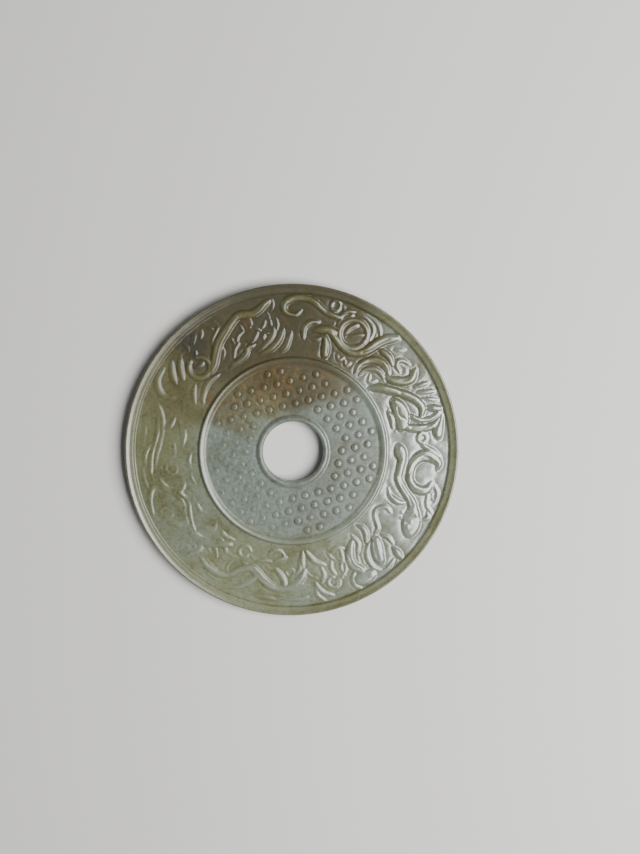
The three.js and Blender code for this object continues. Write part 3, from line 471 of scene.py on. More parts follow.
@dataclass
class ReliefBand:
    """The band of dragons between the raised ring and the rim.

    Args:
        inner: radius where the band starts, in mm.
        outer: radius where it ends, in mm.
        steps: steps across the band that the stations count in.
        swell: how much fuller a strand's foot is than its drawn width.
        bevel: slope of a strand's sides, as rise over run.
        flank: width of those sides in mm.
        crown: rise of a wide strand's top over its sides, in mm.
        dip: how far the ground dips at a strand's foot, in mm.
        spread: how fast that dip fades beyond the strand, in mm.
        bead_from: least half width of a strand that has a fine line along one side, in mm.
        bead_in: how far in from the edge that line runs, in mm.
        bead_depth: depth of that line in mm.
        bead_half: its half width in mm.
        low: height of a ripple as a share of a strand's.
        bump: height of a small round bump, in mm.
        cut: depth of a fine cut line, in mm.
        west: angle of the most worn side in degrees.
        west_lost: share of the height that wear took there.
        south: angle of the other worn side in degrees.
        south_lost: share of the height that wear took there.
        patchy: how unevenly wear took it on the most worn side.
    """

    inner: float = 50.2
    outer: float = 79.6
    steps: float = 30.0
    swell: float = 1.1
    bevel: float = 0.46
    flank: float = 1.7
    crown: float = 0.22
    dip: float = 0.16
    spread: float = 1.0
    bead_from: float = 2.3
    bead_in: float = 1.8
    bead_depth: float = 0.16
    bead_half: float = 0.42
    low: float = 0.65
    bump: float = 0.34
    cut: float = 0.2
    west: float = 188.0
    west_lost: float = 0.82
    south: float = 264.0
    south_lost: float = 0.25
    patchy: Waves = Waves(0.35, 9.0, 17)

    def place(self, stations: list[Station]) -> np.ndarray:
        """The stations of one strand, set in the band.

        Args:
            stations: angle in degrees, step across the band and half width in mm of each.

        Returns:
            Rows of x, y and half width in mm.
        """
        rows = np.array(stations, dtype=float)
        radius = self.inner + rows[:, 1] * (self.outer - self.inner) / self.steps
        turn = np.radians(rows[:, 0])
        half = rows[:, 2] * self.swell
        return np.column_stack([radius * np.cos(turn), radius * np.sin(turn), half])

    def curl(self, curl: Curl) -> np.ndarray:
        """One spiral of the band.

        Args:
            curl: the spiral.

        Returns:
            Rows of x, y and half width in mm.
        """
        centre = self.place([(curl.angle, curl.step, 1.0)])[0]
        t = np.linspace(0.0, 1.0, 22)
        turn = np.radians(curl.start + curl.sweep * t)
        out = curl.radius * (1 - curl.close * t)
        half = curl.half * (0.75 + 0.25 * np.sin(math.pi * np.clip(t, 0.02, 0.98)) ** 0.4)
        return np.column_stack([centre[0] + out * np.cos(turn), centre[1] + out * np.sin(turn), half])

    def paths(self) -> list[tuple[np.ndarray, float]]:
        """The middle lines of all strands, curls and ripples.

        Returns:
            Each as close rows of x, y and half width in mm, with its share of the height.
        """
        rows = [self.place(strand) for group in STRANDS.values() for strand in group]
        rows += [np.array(scroll, dtype=float) for group in SCROLLS.values() for scroll in group]
        rows += [self.curl(curl) for curl in CURLS]
        high = [(smooth_path(tapered(row)), 1.0) for row in rows]
        return high + [(smooth_path(tapered(np.array(row, dtype=float))), self.low) for row in RIPPLES]

    def carve(self, x: np.ndarray, y: np.ndarray) -> np.ndarray:
        """How far the carving stands above the band's ground.

        Args:
            x: places' x in mm.
            y: places' y in mm.

        Returns:
            Heights above the ground in mm, below nought beside a strand and in a cut.
        """
        high, dip = np.full_like(x, -self.dip), np.zeros_like(x)
        for path, share in self.paths():
            near = self._near(x, y, path, 3 * self.spread)
            over, beyond, half = reach(x[near], y[near], path)
            inside = np.abs(half) * (1 - over)
            side = np.minimum(self.flank, np.abs(half) * 0.9)
            rounded = 1 - (1 - np.clip(inside / side, 0, 1)) ** 2
            # A full strand stands prouder than a slim one, and its top is crowned.
            rise = self.bevel * side * rounded * (0.82 + 0.3 * smoothstep(1.6, 2.6, np.abs(half)))
            rise += self.crown * np.clip(1 - over ** 2, 0, 1) * smoothstep(0.8, 2.0, np.abs(half))
            line = smoothstep(self.bead_from, self.bead_from + 0.4, half) * (over < 1)
            rise -= line * self.bead_depth * np.exp(-((inside - self.bead_in) / self.bead_half) ** 2)
            high[near] = np.maximum(high[near], rise * share - self.dip)
            dip[near] = np.maximum(dip[near], np.exp(-np.clip(beyond, 0, None) / self.spread))
        height = np.where(high > -self.dip + 1e-6, high, -self.dip * dip) * self.wear(x, y)
        for cut in CUTS:
            path = smooth_path(self.place(cut) / (1.0, 1.0, self.swell))
            near = self._near(x, y, path, 1.5)
            over, _, _ = reach(x[near], y[near], path)
            height[near] -= self.cut * np.exp(-(over * 0.6) ** 2)
        for bx, by, radius in BUMPS:
            height += self.bump * np.exp(-((x - bx) ** 2 + (y - by) ** 2) / (0.7 * radius) ** 2)
        return height

    def wear(self, x: np.ndarray, y: np.ndarray) -> np.ndarray:
        """How much of the carving's height wear has left: least on the left, less at the bottom.

        Args:
            x: places' x in mm.
            y: places' y in mm.

        Returns:
            Shares of the height.
        """
        turn = np.degrees(np.arctan2(y, x)) % 360
        west = smoothstep(50.0, 28.0, np.abs(turn - self.west))
        south = smoothstep(52.0, 24.0, np.abs(turn - self.south))
        patchy = np.clip(0.8 + self.patchy.at(x, y), 0.4, 1.15)
        return 1 - self.west_lost * west * patchy - self.south_lost * south

    @staticmethod
    def _near(x: np.ndarray, y: np.ndarray, path: np.ndarray, margin: float) -> np.ndarray:
        """Which places lie in a path's box.

        Args:
            x: places' x in mm.
            y: places' y in mm.
            path: rows of x, y and half width.
            margin: how far the box reaches past the strand, in mm.

        Returns:
            The places' numbers.
        """
        wide = path[:, 2].max() + margin
        return np.flatnonzero((x > path[:, 0].min() - wide) & (x < path[:, 0].max() + wide)
                              & (y > path[:, 1].min() - wide) & (y < path[:, 1].max() + wide))


@dataclass
class GrainField:
    """The even field of drilled grain bosses round the hole.

    Args:
        pitch: distance between bosses in mm.
        turn: turn of the rows in degrees.
        start: one boss's place in mm.
        inner: radius where the field starts, in mm.
        outer: radius where it ends, in mm.
        boss: radius of a boss in mm.
        dome: height of a boss in mm.
        moat: radius of the drilled ring round it in mm.
        sink: depth of that ring in mm.
        drill: half width of that ring in mm.
        wear: most that wear takes from a boss's size, as a share.
        fullest: size of the fullest boss, as a share.
        seed: which bosses are the fuller ones.
        segments: faces round a boss.
        rings: rows of faces from its top to its foot.
    """

    pitch: float = 6.8
    turn: float = 14.0
    start: tuple[float, float] = (24.75, 0.3)
    inner: float = 19.8
    outer: float = 43.3
    boss: float = 1.8
    dome: float = 0.26
    moat: float = 2.0
    sink: float = 0.07
    drill: float = 0.5
    wear: float = 0.12
    fullest: float = 1.06
    seed: int = 7
    segments: int = 12
    rings: int = 8

    def places(self) -> np.ndarray:
        """The middle of each boss.

        Returns:
            Rows of x and y in mm.
        """
        rows = math.ceil(2 * self.outer / self.pitch) + 2
        i, j = np.meshgrid(np.arange(-rows, rows + 1), np.arange(-rows, rows + 1))
        a, b = math.radians(self.turn), math.radians(self.turn + 60)
        x = self.start[0] + self.pitch * (i * math.cos(a) + j * math.cos(b))
        y = self.start[1] + self.pitch * (i * math.sin(a) + j * math.sin(b))
        radius = np.hypot(x, y)
        keep = (radius > self.inner + 1.0) & (radius < self.outer - 1.1)
        return np.column_stack([x[keep], y[keep]])

    def drilled(self, x: np.ndarray, y: np.ndarray) -> np.ndarray:
        """How much of a drilled ring there is at places of the field.

        Args:
            x: places' x in mm.
            y: places' y in mm.

        Returns:
            Shares, less where the grains are worn.
        """
        share = np.zeros_like(x)
        for px, py in self.places():
            gap = np.hypot(x - px, y - py)
            share += np.exp(-((gap - self.moat) / self.drill) ** 2)
        return share * self.crisp(x, y)

    @staticmethod
    def kept(x: np.ndarray, y: np.ndarray) -> np.ndarray:
        """The share of a grain that wear has left, least on the left below the brown zone."""
        return 0.58 + 0.42 * np.maximum(smoothstep(-30.0, 16.0, x), 0.7 * smoothstep(8.0, 20.0, y))

    def crisp(self, x: np.ndarray, y: np.ndarray) -> np.ndarray:
        """How clear a drilled ring and its painted shade still are: they fade faster than the grain."""
        return 1.6 * self.kept(x, y) - 0.6

    def sizes(self) -> dict[str, float]:
        """The inputs of the node tree by name, in m."""
        return {"Boss Radius": self.boss * MM, "Boss Height": self.dome * MM, "Wear": self.wear}

    def tree(self, jade: bpy.types.Material) -> bpy.types.NodeTree:
        """The node tree that sets a worn grain on each point.

        Args:
            jade: the stone's material.

        Returns:
            A tree with inputs for the boss radius, its height and the wear.
        """
        tree = bpy.data.node_groups.new("grain_bosses", "GeometryNodeTree")
        face = tree.interface
        face.new_socket("Geometry", in_out="INPUT", socket_type="NodeSocketGeometry")
        for name, value in self.sizes().items():
            face.new_socket(name, in_out="INPUT", socket_type="NodeSocketFloat").default_value = value
        face.new_socket("Geometry", in_out="OUTPUT", socket_type="NodeSocketGeometry")
        add = tree.nodes.new
        link = tree.links.new
        given, result = add("NodeGroupInput"), add("NodeGroupOutput")
        grain = add("GeometryNodeMeshUVSphere")
        grain.inputs["Segments"].default_value = self.segments
        grain.inputs["Rings"].default_value = self.rings
        link(given.outputs["Boss Radius"], grain.inputs["Radius"])
        squash = add("GeometryNodeTransform")
        ratio = add("ShaderNodeMath")
        ratio.operation = "DIVIDE"
        link(given.outputs["Boss Height"], ratio.inputs[0])
        link(given.outputs["Boss Radius"], ratio.inputs[1])
        scale = add("ShaderNodeCombineXYZ")
        scale.inputs[0].default_value = 1.0
        scale.inputs[1].default_value = 1.0
        link(ratio.outputs[0], scale.inputs[2])
        link(grain.outputs["Mesh"], squash.inputs["Geometry"])
        link(scale.outputs[0], squash.inputs["Scale"])
        low = add("ShaderNodeMath")
        low.operation = "SUBTRACT"
        low.inputs[0].default_value = 1.0
        link(given.outputs["Wear"], low.inputs[1])
        size = add("FunctionNodeRandomValue")
        size.data_type = "FLOAT"
        for socket in size.inputs:
            if socket.type == "VALUE" and socket.name == "Min":
                link(low.outputs[0], socket)
            if socket.type == "VALUE" and socket.name == "Max":
                socket.default_value = self.fullest
            if socket.name == "Seed":
                socket.default_value = self.seed
        each = add("GeometryNodeInstanceOnPoints")
        link(given.outputs["Geometry"], each.inputs["Points"])
        link(squash.outputs["Geometry"], each.inputs["Instance"])
        link(next(o for o in size.outputs if o.type == "VALUE" and o.enabled), each.inputs["Scale"])
        real, smooth, coat = (add("GeometryNodeRealizeInstances"), add("GeometryNodeSetShadeSmooth"),
                              add("GeometryNodeSetMaterial"))
        coat.inputs["Material"].default_value = jade
        link(each.outputs["Instances"], real.inputs["Geometry"])
        link(real.outputs["Geometry"], smooth.inputs["Geometry"])
        link(smooth.outputs["Geometry"], coat.inputs["Geometry"])
        link(coat.outputs["Geometry"], result.inputs["Geometry"])
        return tree

    def build(self, face: Face, level: float, jade: bpy.types.Material) -> bpy.types.Object:
        """All bosses of one face as one mesh.

        Args:
            face: which face they stand on.
            level: height of that face's ground in mm.
            jade: the stone's material.

        Returns:
            The mesh object, at the origin.
        """
        spots = bpy.data.meshes.new("grain_spots")
        flip = face.value
        x, y = self.places().T * np.array([[1], [flip]])
        sunk = self.dome * (1.02 - 0.8 * self.kept(x, y))
        spots.from_pydata(np.column_stack([x, y, level - sunk * flip]) * MM, [], [])
        holder = bpy.data.objects.new("grain_spots", spots)
        bpy.context.scene.collection.objects.link(holder)
        maker = holder.modifiers.new("grains", "NODES")
        maker.node_group = self.tree(jade)
        wanted = self.sizes()
        for item in maker.node_group.interface.items_tree:
            if item.item_type == "SOCKET" and item.in_out == "INPUT" and item.name in wanted:
                maker[item.identifier] = wanted[item.name]
        bpy.context.view_layer.update()
        whole = holder.evaluated_get(bpy.context.evaluated_depsgraph_get())
        mesh = bpy.data.meshes.new_from_object(whole)
        mesh.name = f"grain_{face.name.lower()}"
        points = np.zeros(len(mesh.vertices) * 3)
        mesh.vertices.foreach_get("co", points)
        lift = (points[2::3] / MM - level) * flip / self.dome
        # Painted shade on each boss: darker towards its foot, fading where the rings fade.
        dark = 0.35 + 0.65 * smoothstep(0.8, 0.1, lift)
        note(mesh, "drilled", dark * self.crisp(points[::3] / MM, points[1::3] / MM))
        holder.modifiers.remove(maker)
        bpy.data.objects.remove(holder)
        piece = bpy.data.objects.new(f"grain_bosses_{face.name.lower()}", mesh)
        bpy.context.scene.collection.objects.link(piece)
        return piece


@dataclass
class CarvedDisc:
    """The whole stone as one closed mesh of rings.

    Args:
        outer: radius of the disc in mm.
        bore: radius of the hole in mm.
        thick: height of the rim's crest in mm.
        band: the relief band.
        grains: the grain field.
        polish: the waves of the polish on the band's ground.
        field_waves: the uneven ground of the worn side of the grain field.
        rim_waves: the wear of the rim's edge.
        worn_edge: width of the rim that wears, in mm.
    """

    outer: float = OUTER_RADIUS
    bore: float = BORE_RADIUS
    thick: float = 8.0
    band: ReliefBand = field(default_factory=ReliefBand)
    grains: GrainField = field(default_factory=GrainField)
    polish: tuple[Waves, ...] = (Waves(0.045, 15.0, 3), Waves(0.015, 5.0, 5))
    field_waves: Waves = Waves(0.07, 2.6, 23)
    rim_waves: Waves = Waves(0.12, 9.0, 11)
    worn_edge: float = 2.8

    @staticmethod
    def front_height(radius: np.ndarray) -> np.ndarray:
        """The turned height of the carved face at a radius, without the carving, in mm."""
        return np.interp(radius, *np.transpose(FRONT_PROFILE))

    @staticmethod
    def back_height(radius: np.ndarray) -> np.ndarray:
        """The height of the plain back at a radius, in mm."""
        return np.interp(radius, *np.transpose(BACK_PROFILE))

    def rings(self) -> list[tuple[float, float, int, Face | None]]:
        """All rings of the mesh in order.

        Returns:
            Radius in mm, height in mm or nan, number of points and face of each.
        """
        def span(start: float, stop: float, pace: float) -> np.ndarray:
            """Radii from start to just before stop, about a pace apart."""
            return np.linspace(start, stop, max(2, round(abs(stop - start) / pace)), endpoint=False)

        low, wall, mid, high = 110, 220, 440, 880
        front = ((self.bore, 19.2, 0.38, wall), (19.2, 44.0, 0.76, mid), (44.0, 49.5, 0.26, mid),
                 (49.5, 79.8, 0.46, high), (79.8, self.outer, 0.26, mid))
        back = ((self.outer, 80.0, 0.5), (80.0, 48.4, 3.2), (48.4, 44.6, 0.42), (44.6, 18.6, 2.6),
                (18.6, self.bore, 0.45))
        out = [(r, math.nan, count, Face.FRONT)
               for start, stop, pace, count in front for r in span(start, stop, pace)]
        out.append((self.outer, math.nan, mid, Face.FRONT))
        out += [(self.outer, z, wall, None) for z in (4.8, 2.9)]
        out += [(r, math.nan, low, Face.BACK) for part in back for r in span(*part)]
        out.append((self.bore, math.nan, low, Face.BACK))
        out += [(self.bore, z, wall, None) for z in (2.2, 4.2)]
        return out

    def build(self, jade: bpy.types.Material) -> bpy.types.Object:
        """The closed stone.

        Args:
            jade: the stone's material.

        Returns:
            The mesh object with attributes for the relief and the hollows.
        """
        rings = self.rings()
        counts = np.array([ring[2] for ring in rings])
        starts = np.concatenate([[0], np.cumsum(counts)])
        radius = np.repeat([ring[0] for ring in rings], counts)
        angle = np.concatenate([np.arange(n) * 2 * math.pi / n for n in counts])
        side = np.repeat([0 if ring[3] is None else ring[3].value for ring in rings], counts)
        level = np.repeat([ring[1] for ring in rings], counts)
        x, y = radius * np.cos(angle), radius * np.sin(angle)
        front, back = side == 1, side == -1
        z = np.where(back, self.back_height(radius), level)
        z = np.where(front, self.front_height(radius), z)
        # The carving fades out at the raised ring and at the step of the rim.
        rise = np.zeros_like(z)
        inside = front & (radius > self.band.inner - 1.4) & (radius < self.band.outer + 1.2)
        rise[inside] = self.band.carve(x[inside], y[inside])
        fade = (smoothstep(self.band.inner - 1.0, self.band.inner + 0.4, radius)
                * (1 - smoothstep(self.band.outer - 0.3, self.band.outer + 0.9, radius)))
        rise *= fade
        lap = front & (radius > 50) & (radius < 79.8)
        sway = sum(waves.at(x, y) for waves in self.polish)
        z = z + rise + np.where(lap, sway * fade, 0.0)
        grain = front & (radius > self.grains.inner) & (radius < self.grains.outer)
        ring = np.zeros_like(z)
        ring[grain] = self.grains.drilled(x[grain], y[grain])
        z -= self.grains.sink * ring
        z[grain] += self.field_waves.at(x[grain], y[grain]) * smoothstep(6.0, -22.0, x[grain])
        worn = front & (radius > self.outer - self.worn_edge)
        z[worn] -= np.clip(self.rim_waves.at(x[worn], y[worn]) - 0.6 * self.rim_waves.height, 0, 0.25)
        z = np.minimum(z, self.thick)
        faces = self._faces(counts, starts)
        mesh = bpy.data.meshes.new("carved_disc")
        mesh.from_pydata(np.column_stack([x, y, z]) * MM, [], faces)
        mesh.polygons.foreach_set("use_smooth", np.ones(len(mesh.polygons), dtype=bool))
        note(mesh, "relief", np.clip(rise, -0.3, 1.0))
        # How deep a point lies also darkens it in the material: painted shade, with silt, in the
        # hollows.
        note(mesh, "hollow", self._hollows(z, counts, starts, front))
        # The rings' share also darkens them in the material, as painted shade.
        note(mesh, "drilled", ring)
        mesh.materials.append(jade)
        mesh.update()
        piece = bpy.data.objects.new("carved_disc", mesh)
        bpy.context.scene.collection.objects.link(piece)
        return piece

    @staticmethod
    def _faces(counts: np.ndarray, starts: np.ndarray) -> list[tuple[int, ...]]:
        """Faces between each ring and the next, the last ring meeting the first.

        Args:
            counts: points of each ring, where a neighbour has as many, half or double.
            starts: first point of each ring.

        Returns:
            The faces, all facing out.
        """
        faces: list[tuple[int, ...]] = []
        for k in range(len(counts)):
            m = (k + 1) % len(counts)
            n, p, a, b = int(counts[k]), int(counts[m]), int(starts[k]), int(starts[m])
            if n == p:
                faces += [(a + i, b + i, b + (i + 1) % n, a + (i + 1) % n) for i in range(n)]
            elif p == 2 * n:
                for i in range(n):
                    j, f = (i + 1) % n, [b + 2 * i, b + 2 * i + 1, b + (2 * i + 2) % p]
                    faces += [(a + i, f[0], f[1]), (a + i, f[1], a + j), (a + j, f[1], f[2])]
            else:
                for i in range(p):
                    j, f = (i + 1) % p, [a + 2 * i, a + 2 * i + 1, a + (2 * i + 2) % n]
                    faces += [(f[0], b + i, f[1]), (f[1], b + i, b + j), (f[1], b + j, f[2])]
        return faces

    @staticmethod
    def _hollows(z: np.ndarray, counts: np.ndarray, starts: np.ndarray, front: np.ndarray) -> np.ndarray:
        """How deep each point lies below what is round it.

        Args:
            z: heights of all points in mm.
            counts: points of each ring.
            starts: first point of each ring.
            front: which points are on the carved face.

        Returns:
            Shares from 0 to 1.
        """
        around = z.copy()
        for _ in range(6):
            fresh = around.copy()
            for k in range(1, len(counts) - 1):
                a, n = starts[k], counts[k]
                row = around[a:a + n]
                near = [np.roll(row, 1), np.roll(row, -1)]
                for m in (k - 1, k + 1):
                    other = around[starts[m]:starts[m] + counts[m]]
                    near.append(np.repeat(other, n // counts[m]) if n >= counts[m] else other[::2])
                fresh[a:a + n] = sum(near) / len(near)
            around = np.where(front, fresh, z)
        return np.clip((around - z) / 0.35, 0.0, 1.0)


class Shade:
    """A shader socket that takes plain arithmetic."""

    def __init__(self, tree: bpy.types.NodeTree, socket: bpy.types.NodeSocket) -> None:
        """Wraps one output socket of a tree."""
        self.tree = tree
        self.socket = socket

    def _math(self, kind: str, *values: "Shade | float") -> "Shade":
        """One Math node of these values."""
        return make(self.tree, "ShaderNodeMath", {"operation": kind}, dict(enumerate(values)))

    def __add__(self, other: "Shade | float") -> "Shade":
        """The sum."""
        return self._math("ADD", self, other)

    __radd__ = __add__

    def __mul__(self, other: "Shade | float") -> "Shade":
        """The product."""
        return self._math("MULTIPLY", self, other)

    __rmul__ = __mul__

    def __sub__(self, other: "Shade | float") -> "Shade":
        """The difference."""
        return self._math("SUBTRACT", self, other)

    def __rsub__(self, other: float) -> "Shade":
        """The difference the other way round."""
        return self._math("SUBTRACT", other, self)

    def clamped(self) -> "Shade":
        """Kept from 0 to 1."""
        return self._math("MINIMUM", self._math("MAXIMUM", self, 0.0), 1.0)

    def over(self, low: float, high: float) -> "Shade":
        """An even ramp, 0 at low and 1 at high."""
        return make(self.tree, "ShaderNodeMapRange", {"interpolation_type": "SMOOTHSTEP"},
                    {"Value": self, "From Min": low, "From Max": high, "To Min": 0.0, "To Max": 1.0})


def make(tree: bpy.types.NodeTree, kind: str, settings: dict[str, object],
         values: dict[str | int, object], output: str | int = 0) -> Shade:
    """Any node, set first and then fed.

    Args:
        tree: the tree it goes in.
        kind: Blender's name of the node type.
        settings: the node's own settings.
        values: a number, colour or Shade for each socket, by its name or place.
        output: which output is returned.

    Returns:
        That output.
    """
    node = tree.nodes.new(kind)
    for name, value in settings.items():
        setattr(node, name, value)
    for name, value in values.items():
        socket = node.inputs[name]
        if isinstance(value, Shade):
            tree.links.new(value.socket, socket)
        else:
            socket.default_value = value
    return Shade(tree, node.outputs[output])


def mixed(tree: bpy.types.NodeTree, mask: Shade | float, first: Shade | Colour,
          second: Shade | Colour) -> Shade:
    """Two colours mixed by a mask, which is kept from 0 to 1.

    Args:
        tree: the tree it goes in.
        mask: 0 for the first colour and 1 for the second.
        first: a colour.
        second: the other colour.

    Returns:
        The mixed colour.
    """
    colours = [c if isinstance(c, Shade) else (*c, 1.0) for c in (first, second)]
    return make(tree, "ShaderNodeMix", {"data_type": "RGBA", "clamp_factor": True},
                {0: mask, 6: colours[0], 7: colours[1]}, 2)


def layered(tree: bpy.types.NodeTree, colour: Shade,
            layers: list[tuple[Shade, Shade | Colour]]) -> Shade:
    """A colour with others laid over it in turn.

    Args:
        tree: the tree it goes in.
        colour: the lowest colour.
        layers: the mask and the colour of each layer.

    Returns:
        The colour on top.
    """
    for mask, tint in layers:
        colour = mixed(tree, mask, colour, tint)
    return colour


@dataclass(frozen=True)
class Patch:
    """A soft-edged patch of another colour in the stone.

    Args:
        angle: angle of its middle in degrees.
        radius: distance of its middle from the axis in mm.
        size: its rough radius in mm.
        edge: width of its soft edge in mm.
        colour: its colour.
        strength: how much of it shows, from 0 to 1.
        ragged: how far its outline wanders, in mm.
    """

    angle: float
    radius: float
    size: float
    edge: float
    colour: Colour
    strength: float = 1.0
    ragged: float = 8.0


class StoneMap:
    """What changes over the stone, each a socket: clouds, sides, rings and the mesh's own numbers."""

    def __init__(self, tree: bpy.types.NodeTree) -> None:
        """Makes the nodes that the colours and the polish share.

        Args:
            tree: the material's tree.
        """
        self.tree = tree
        self.place = make(tree, "ShaderNodeTexCoord", {}, {}, "Object")
        self.slow, self.mid = self.cloud(16.0, 3.0), self.cloud(70.0, 5.0, 0.6, 0.4)
        self.fine, self.grit = self.cloud(420.0, 4.0, 0.65), self.cloud(760.0, 3.0, 0.6)
        self.relief, self.hollow, self.drilled = (
            make(tree, "ShaderNodeAttribute", {"attribute_name": name}, {}, "Fac")
            for name in ("relief", "hollow", "drilled"))
        self.east, self.north = self.slope((1.0, 0.15, 0.0)), self.slope((-0.12, 1.0, 0.0))
        self.west, self.south = self.east.over(0.0, -0.7), self.north.over(-0.2, -0.75)
        self.centre = self.ring()
        self.inner, self.rim = self.centre.over(0.046, 0.0435), self.centre.over(0.0795, 0.081)

    def cloud(self, scale: float, detail: float, rough: float = 0.5, twist: float = 0.0) -> Shade:
        """Noise from about 0 to 1.

        Args:
            scale: how many clouds there are to a metre.
            detail: how many finer ones lie over them.
            rough: how strong those are.
            twist: how far the clouds are bent.

        Returns:
            The noise.
        """
        return make(self.tree, "ShaderNodeTexNoise", {},
                    {"Vector": self.place, "Scale": scale, "Detail": detail, "Roughness": rough,
                     "Distortion": twist}, "Fac")

    def veins(self) -> Shade:
        """Thin pale veins, 1 in their middle."""
        ridges = make(self.tree, "ShaderNodeTexNoise", {"noise_type": "RIDGED_MULTIFRACTAL"},
                      {"Vector": self.place, "Scale": 26.0, "Detail": 3.0, "Roughness": 0.4}, "Fac")
        return 1.0 - ridges.over(0.2, 1.1)

    def wander(self, scale: float) -> Shade:
        """A wandering vector from about -0.5 to 0.5 that makes an outline ragged."""
        noise = make(self.tree, "ShaderNodeTexNoise", {},
                     {"Vector": self.place, "Scale": scale, "Detail": 4.0}, "Color")
        return make(self.tree, "ShaderNodeVectorMath", {"operation": "SUBTRACT"},
                    {0: noise, 1: (0.5, 0.5, 0.5)})

    def slope(self, way: tuple[float, float, float]) -> Shade:
        """A number that grows along a direction, about -1 to 1 over the disc."""
        dot = make(self.tree, "ShaderNodeVectorMath", {"operation": "DOT_PRODUCT"},
                   {0: self.place, 1: way}, "Value")
        return dot * (1.0 / (OUTER_RADIUS * MM))

    def ring(self) -> Shade:
        """The distance from the axis in metres."""
        flat = make(self.tree, "ShaderNodeVectorMath", {"operation": "MULTIPLY"},
                    {0: self.place, 1: (1, 1, 0)})
        return make(self.tree, "ShaderNodeVectorMath", {"operation": "LENGTH"}, {0: flat}, "Value")

    def spot(self, warp: Shade, patch: Patch) -> Shade:
        """A patch's mask.

        Args:
            warp: a wandering vector from about -0.5 to 0.5.
            patch: the patch.

        Returns:
            The mask, as strong as the patch inside it.
        """
        turn, half = math.radians(patch.angle), patch.edge * 0.5
        middle = (patch.radius * MM * math.cos(turn), patch.radius * MM * math.sin(turn), 0.004)
        bent = make(self.tree, "ShaderNodeVectorMath", {"operation": "MULTIPLY_ADD"},
                    {0: warp, 1: (patch.ragged * MM * 2.4,) * 3, 2: self.place})
        away = make(self.tree, "ShaderNodeVectorMath", {"operation": "DISTANCE"},
                    {0: bent, 1: middle}, "Value")
        return away.over((patch.size + half) * MM, max(patch.size - half, 0.1) * MM) * patch.strength


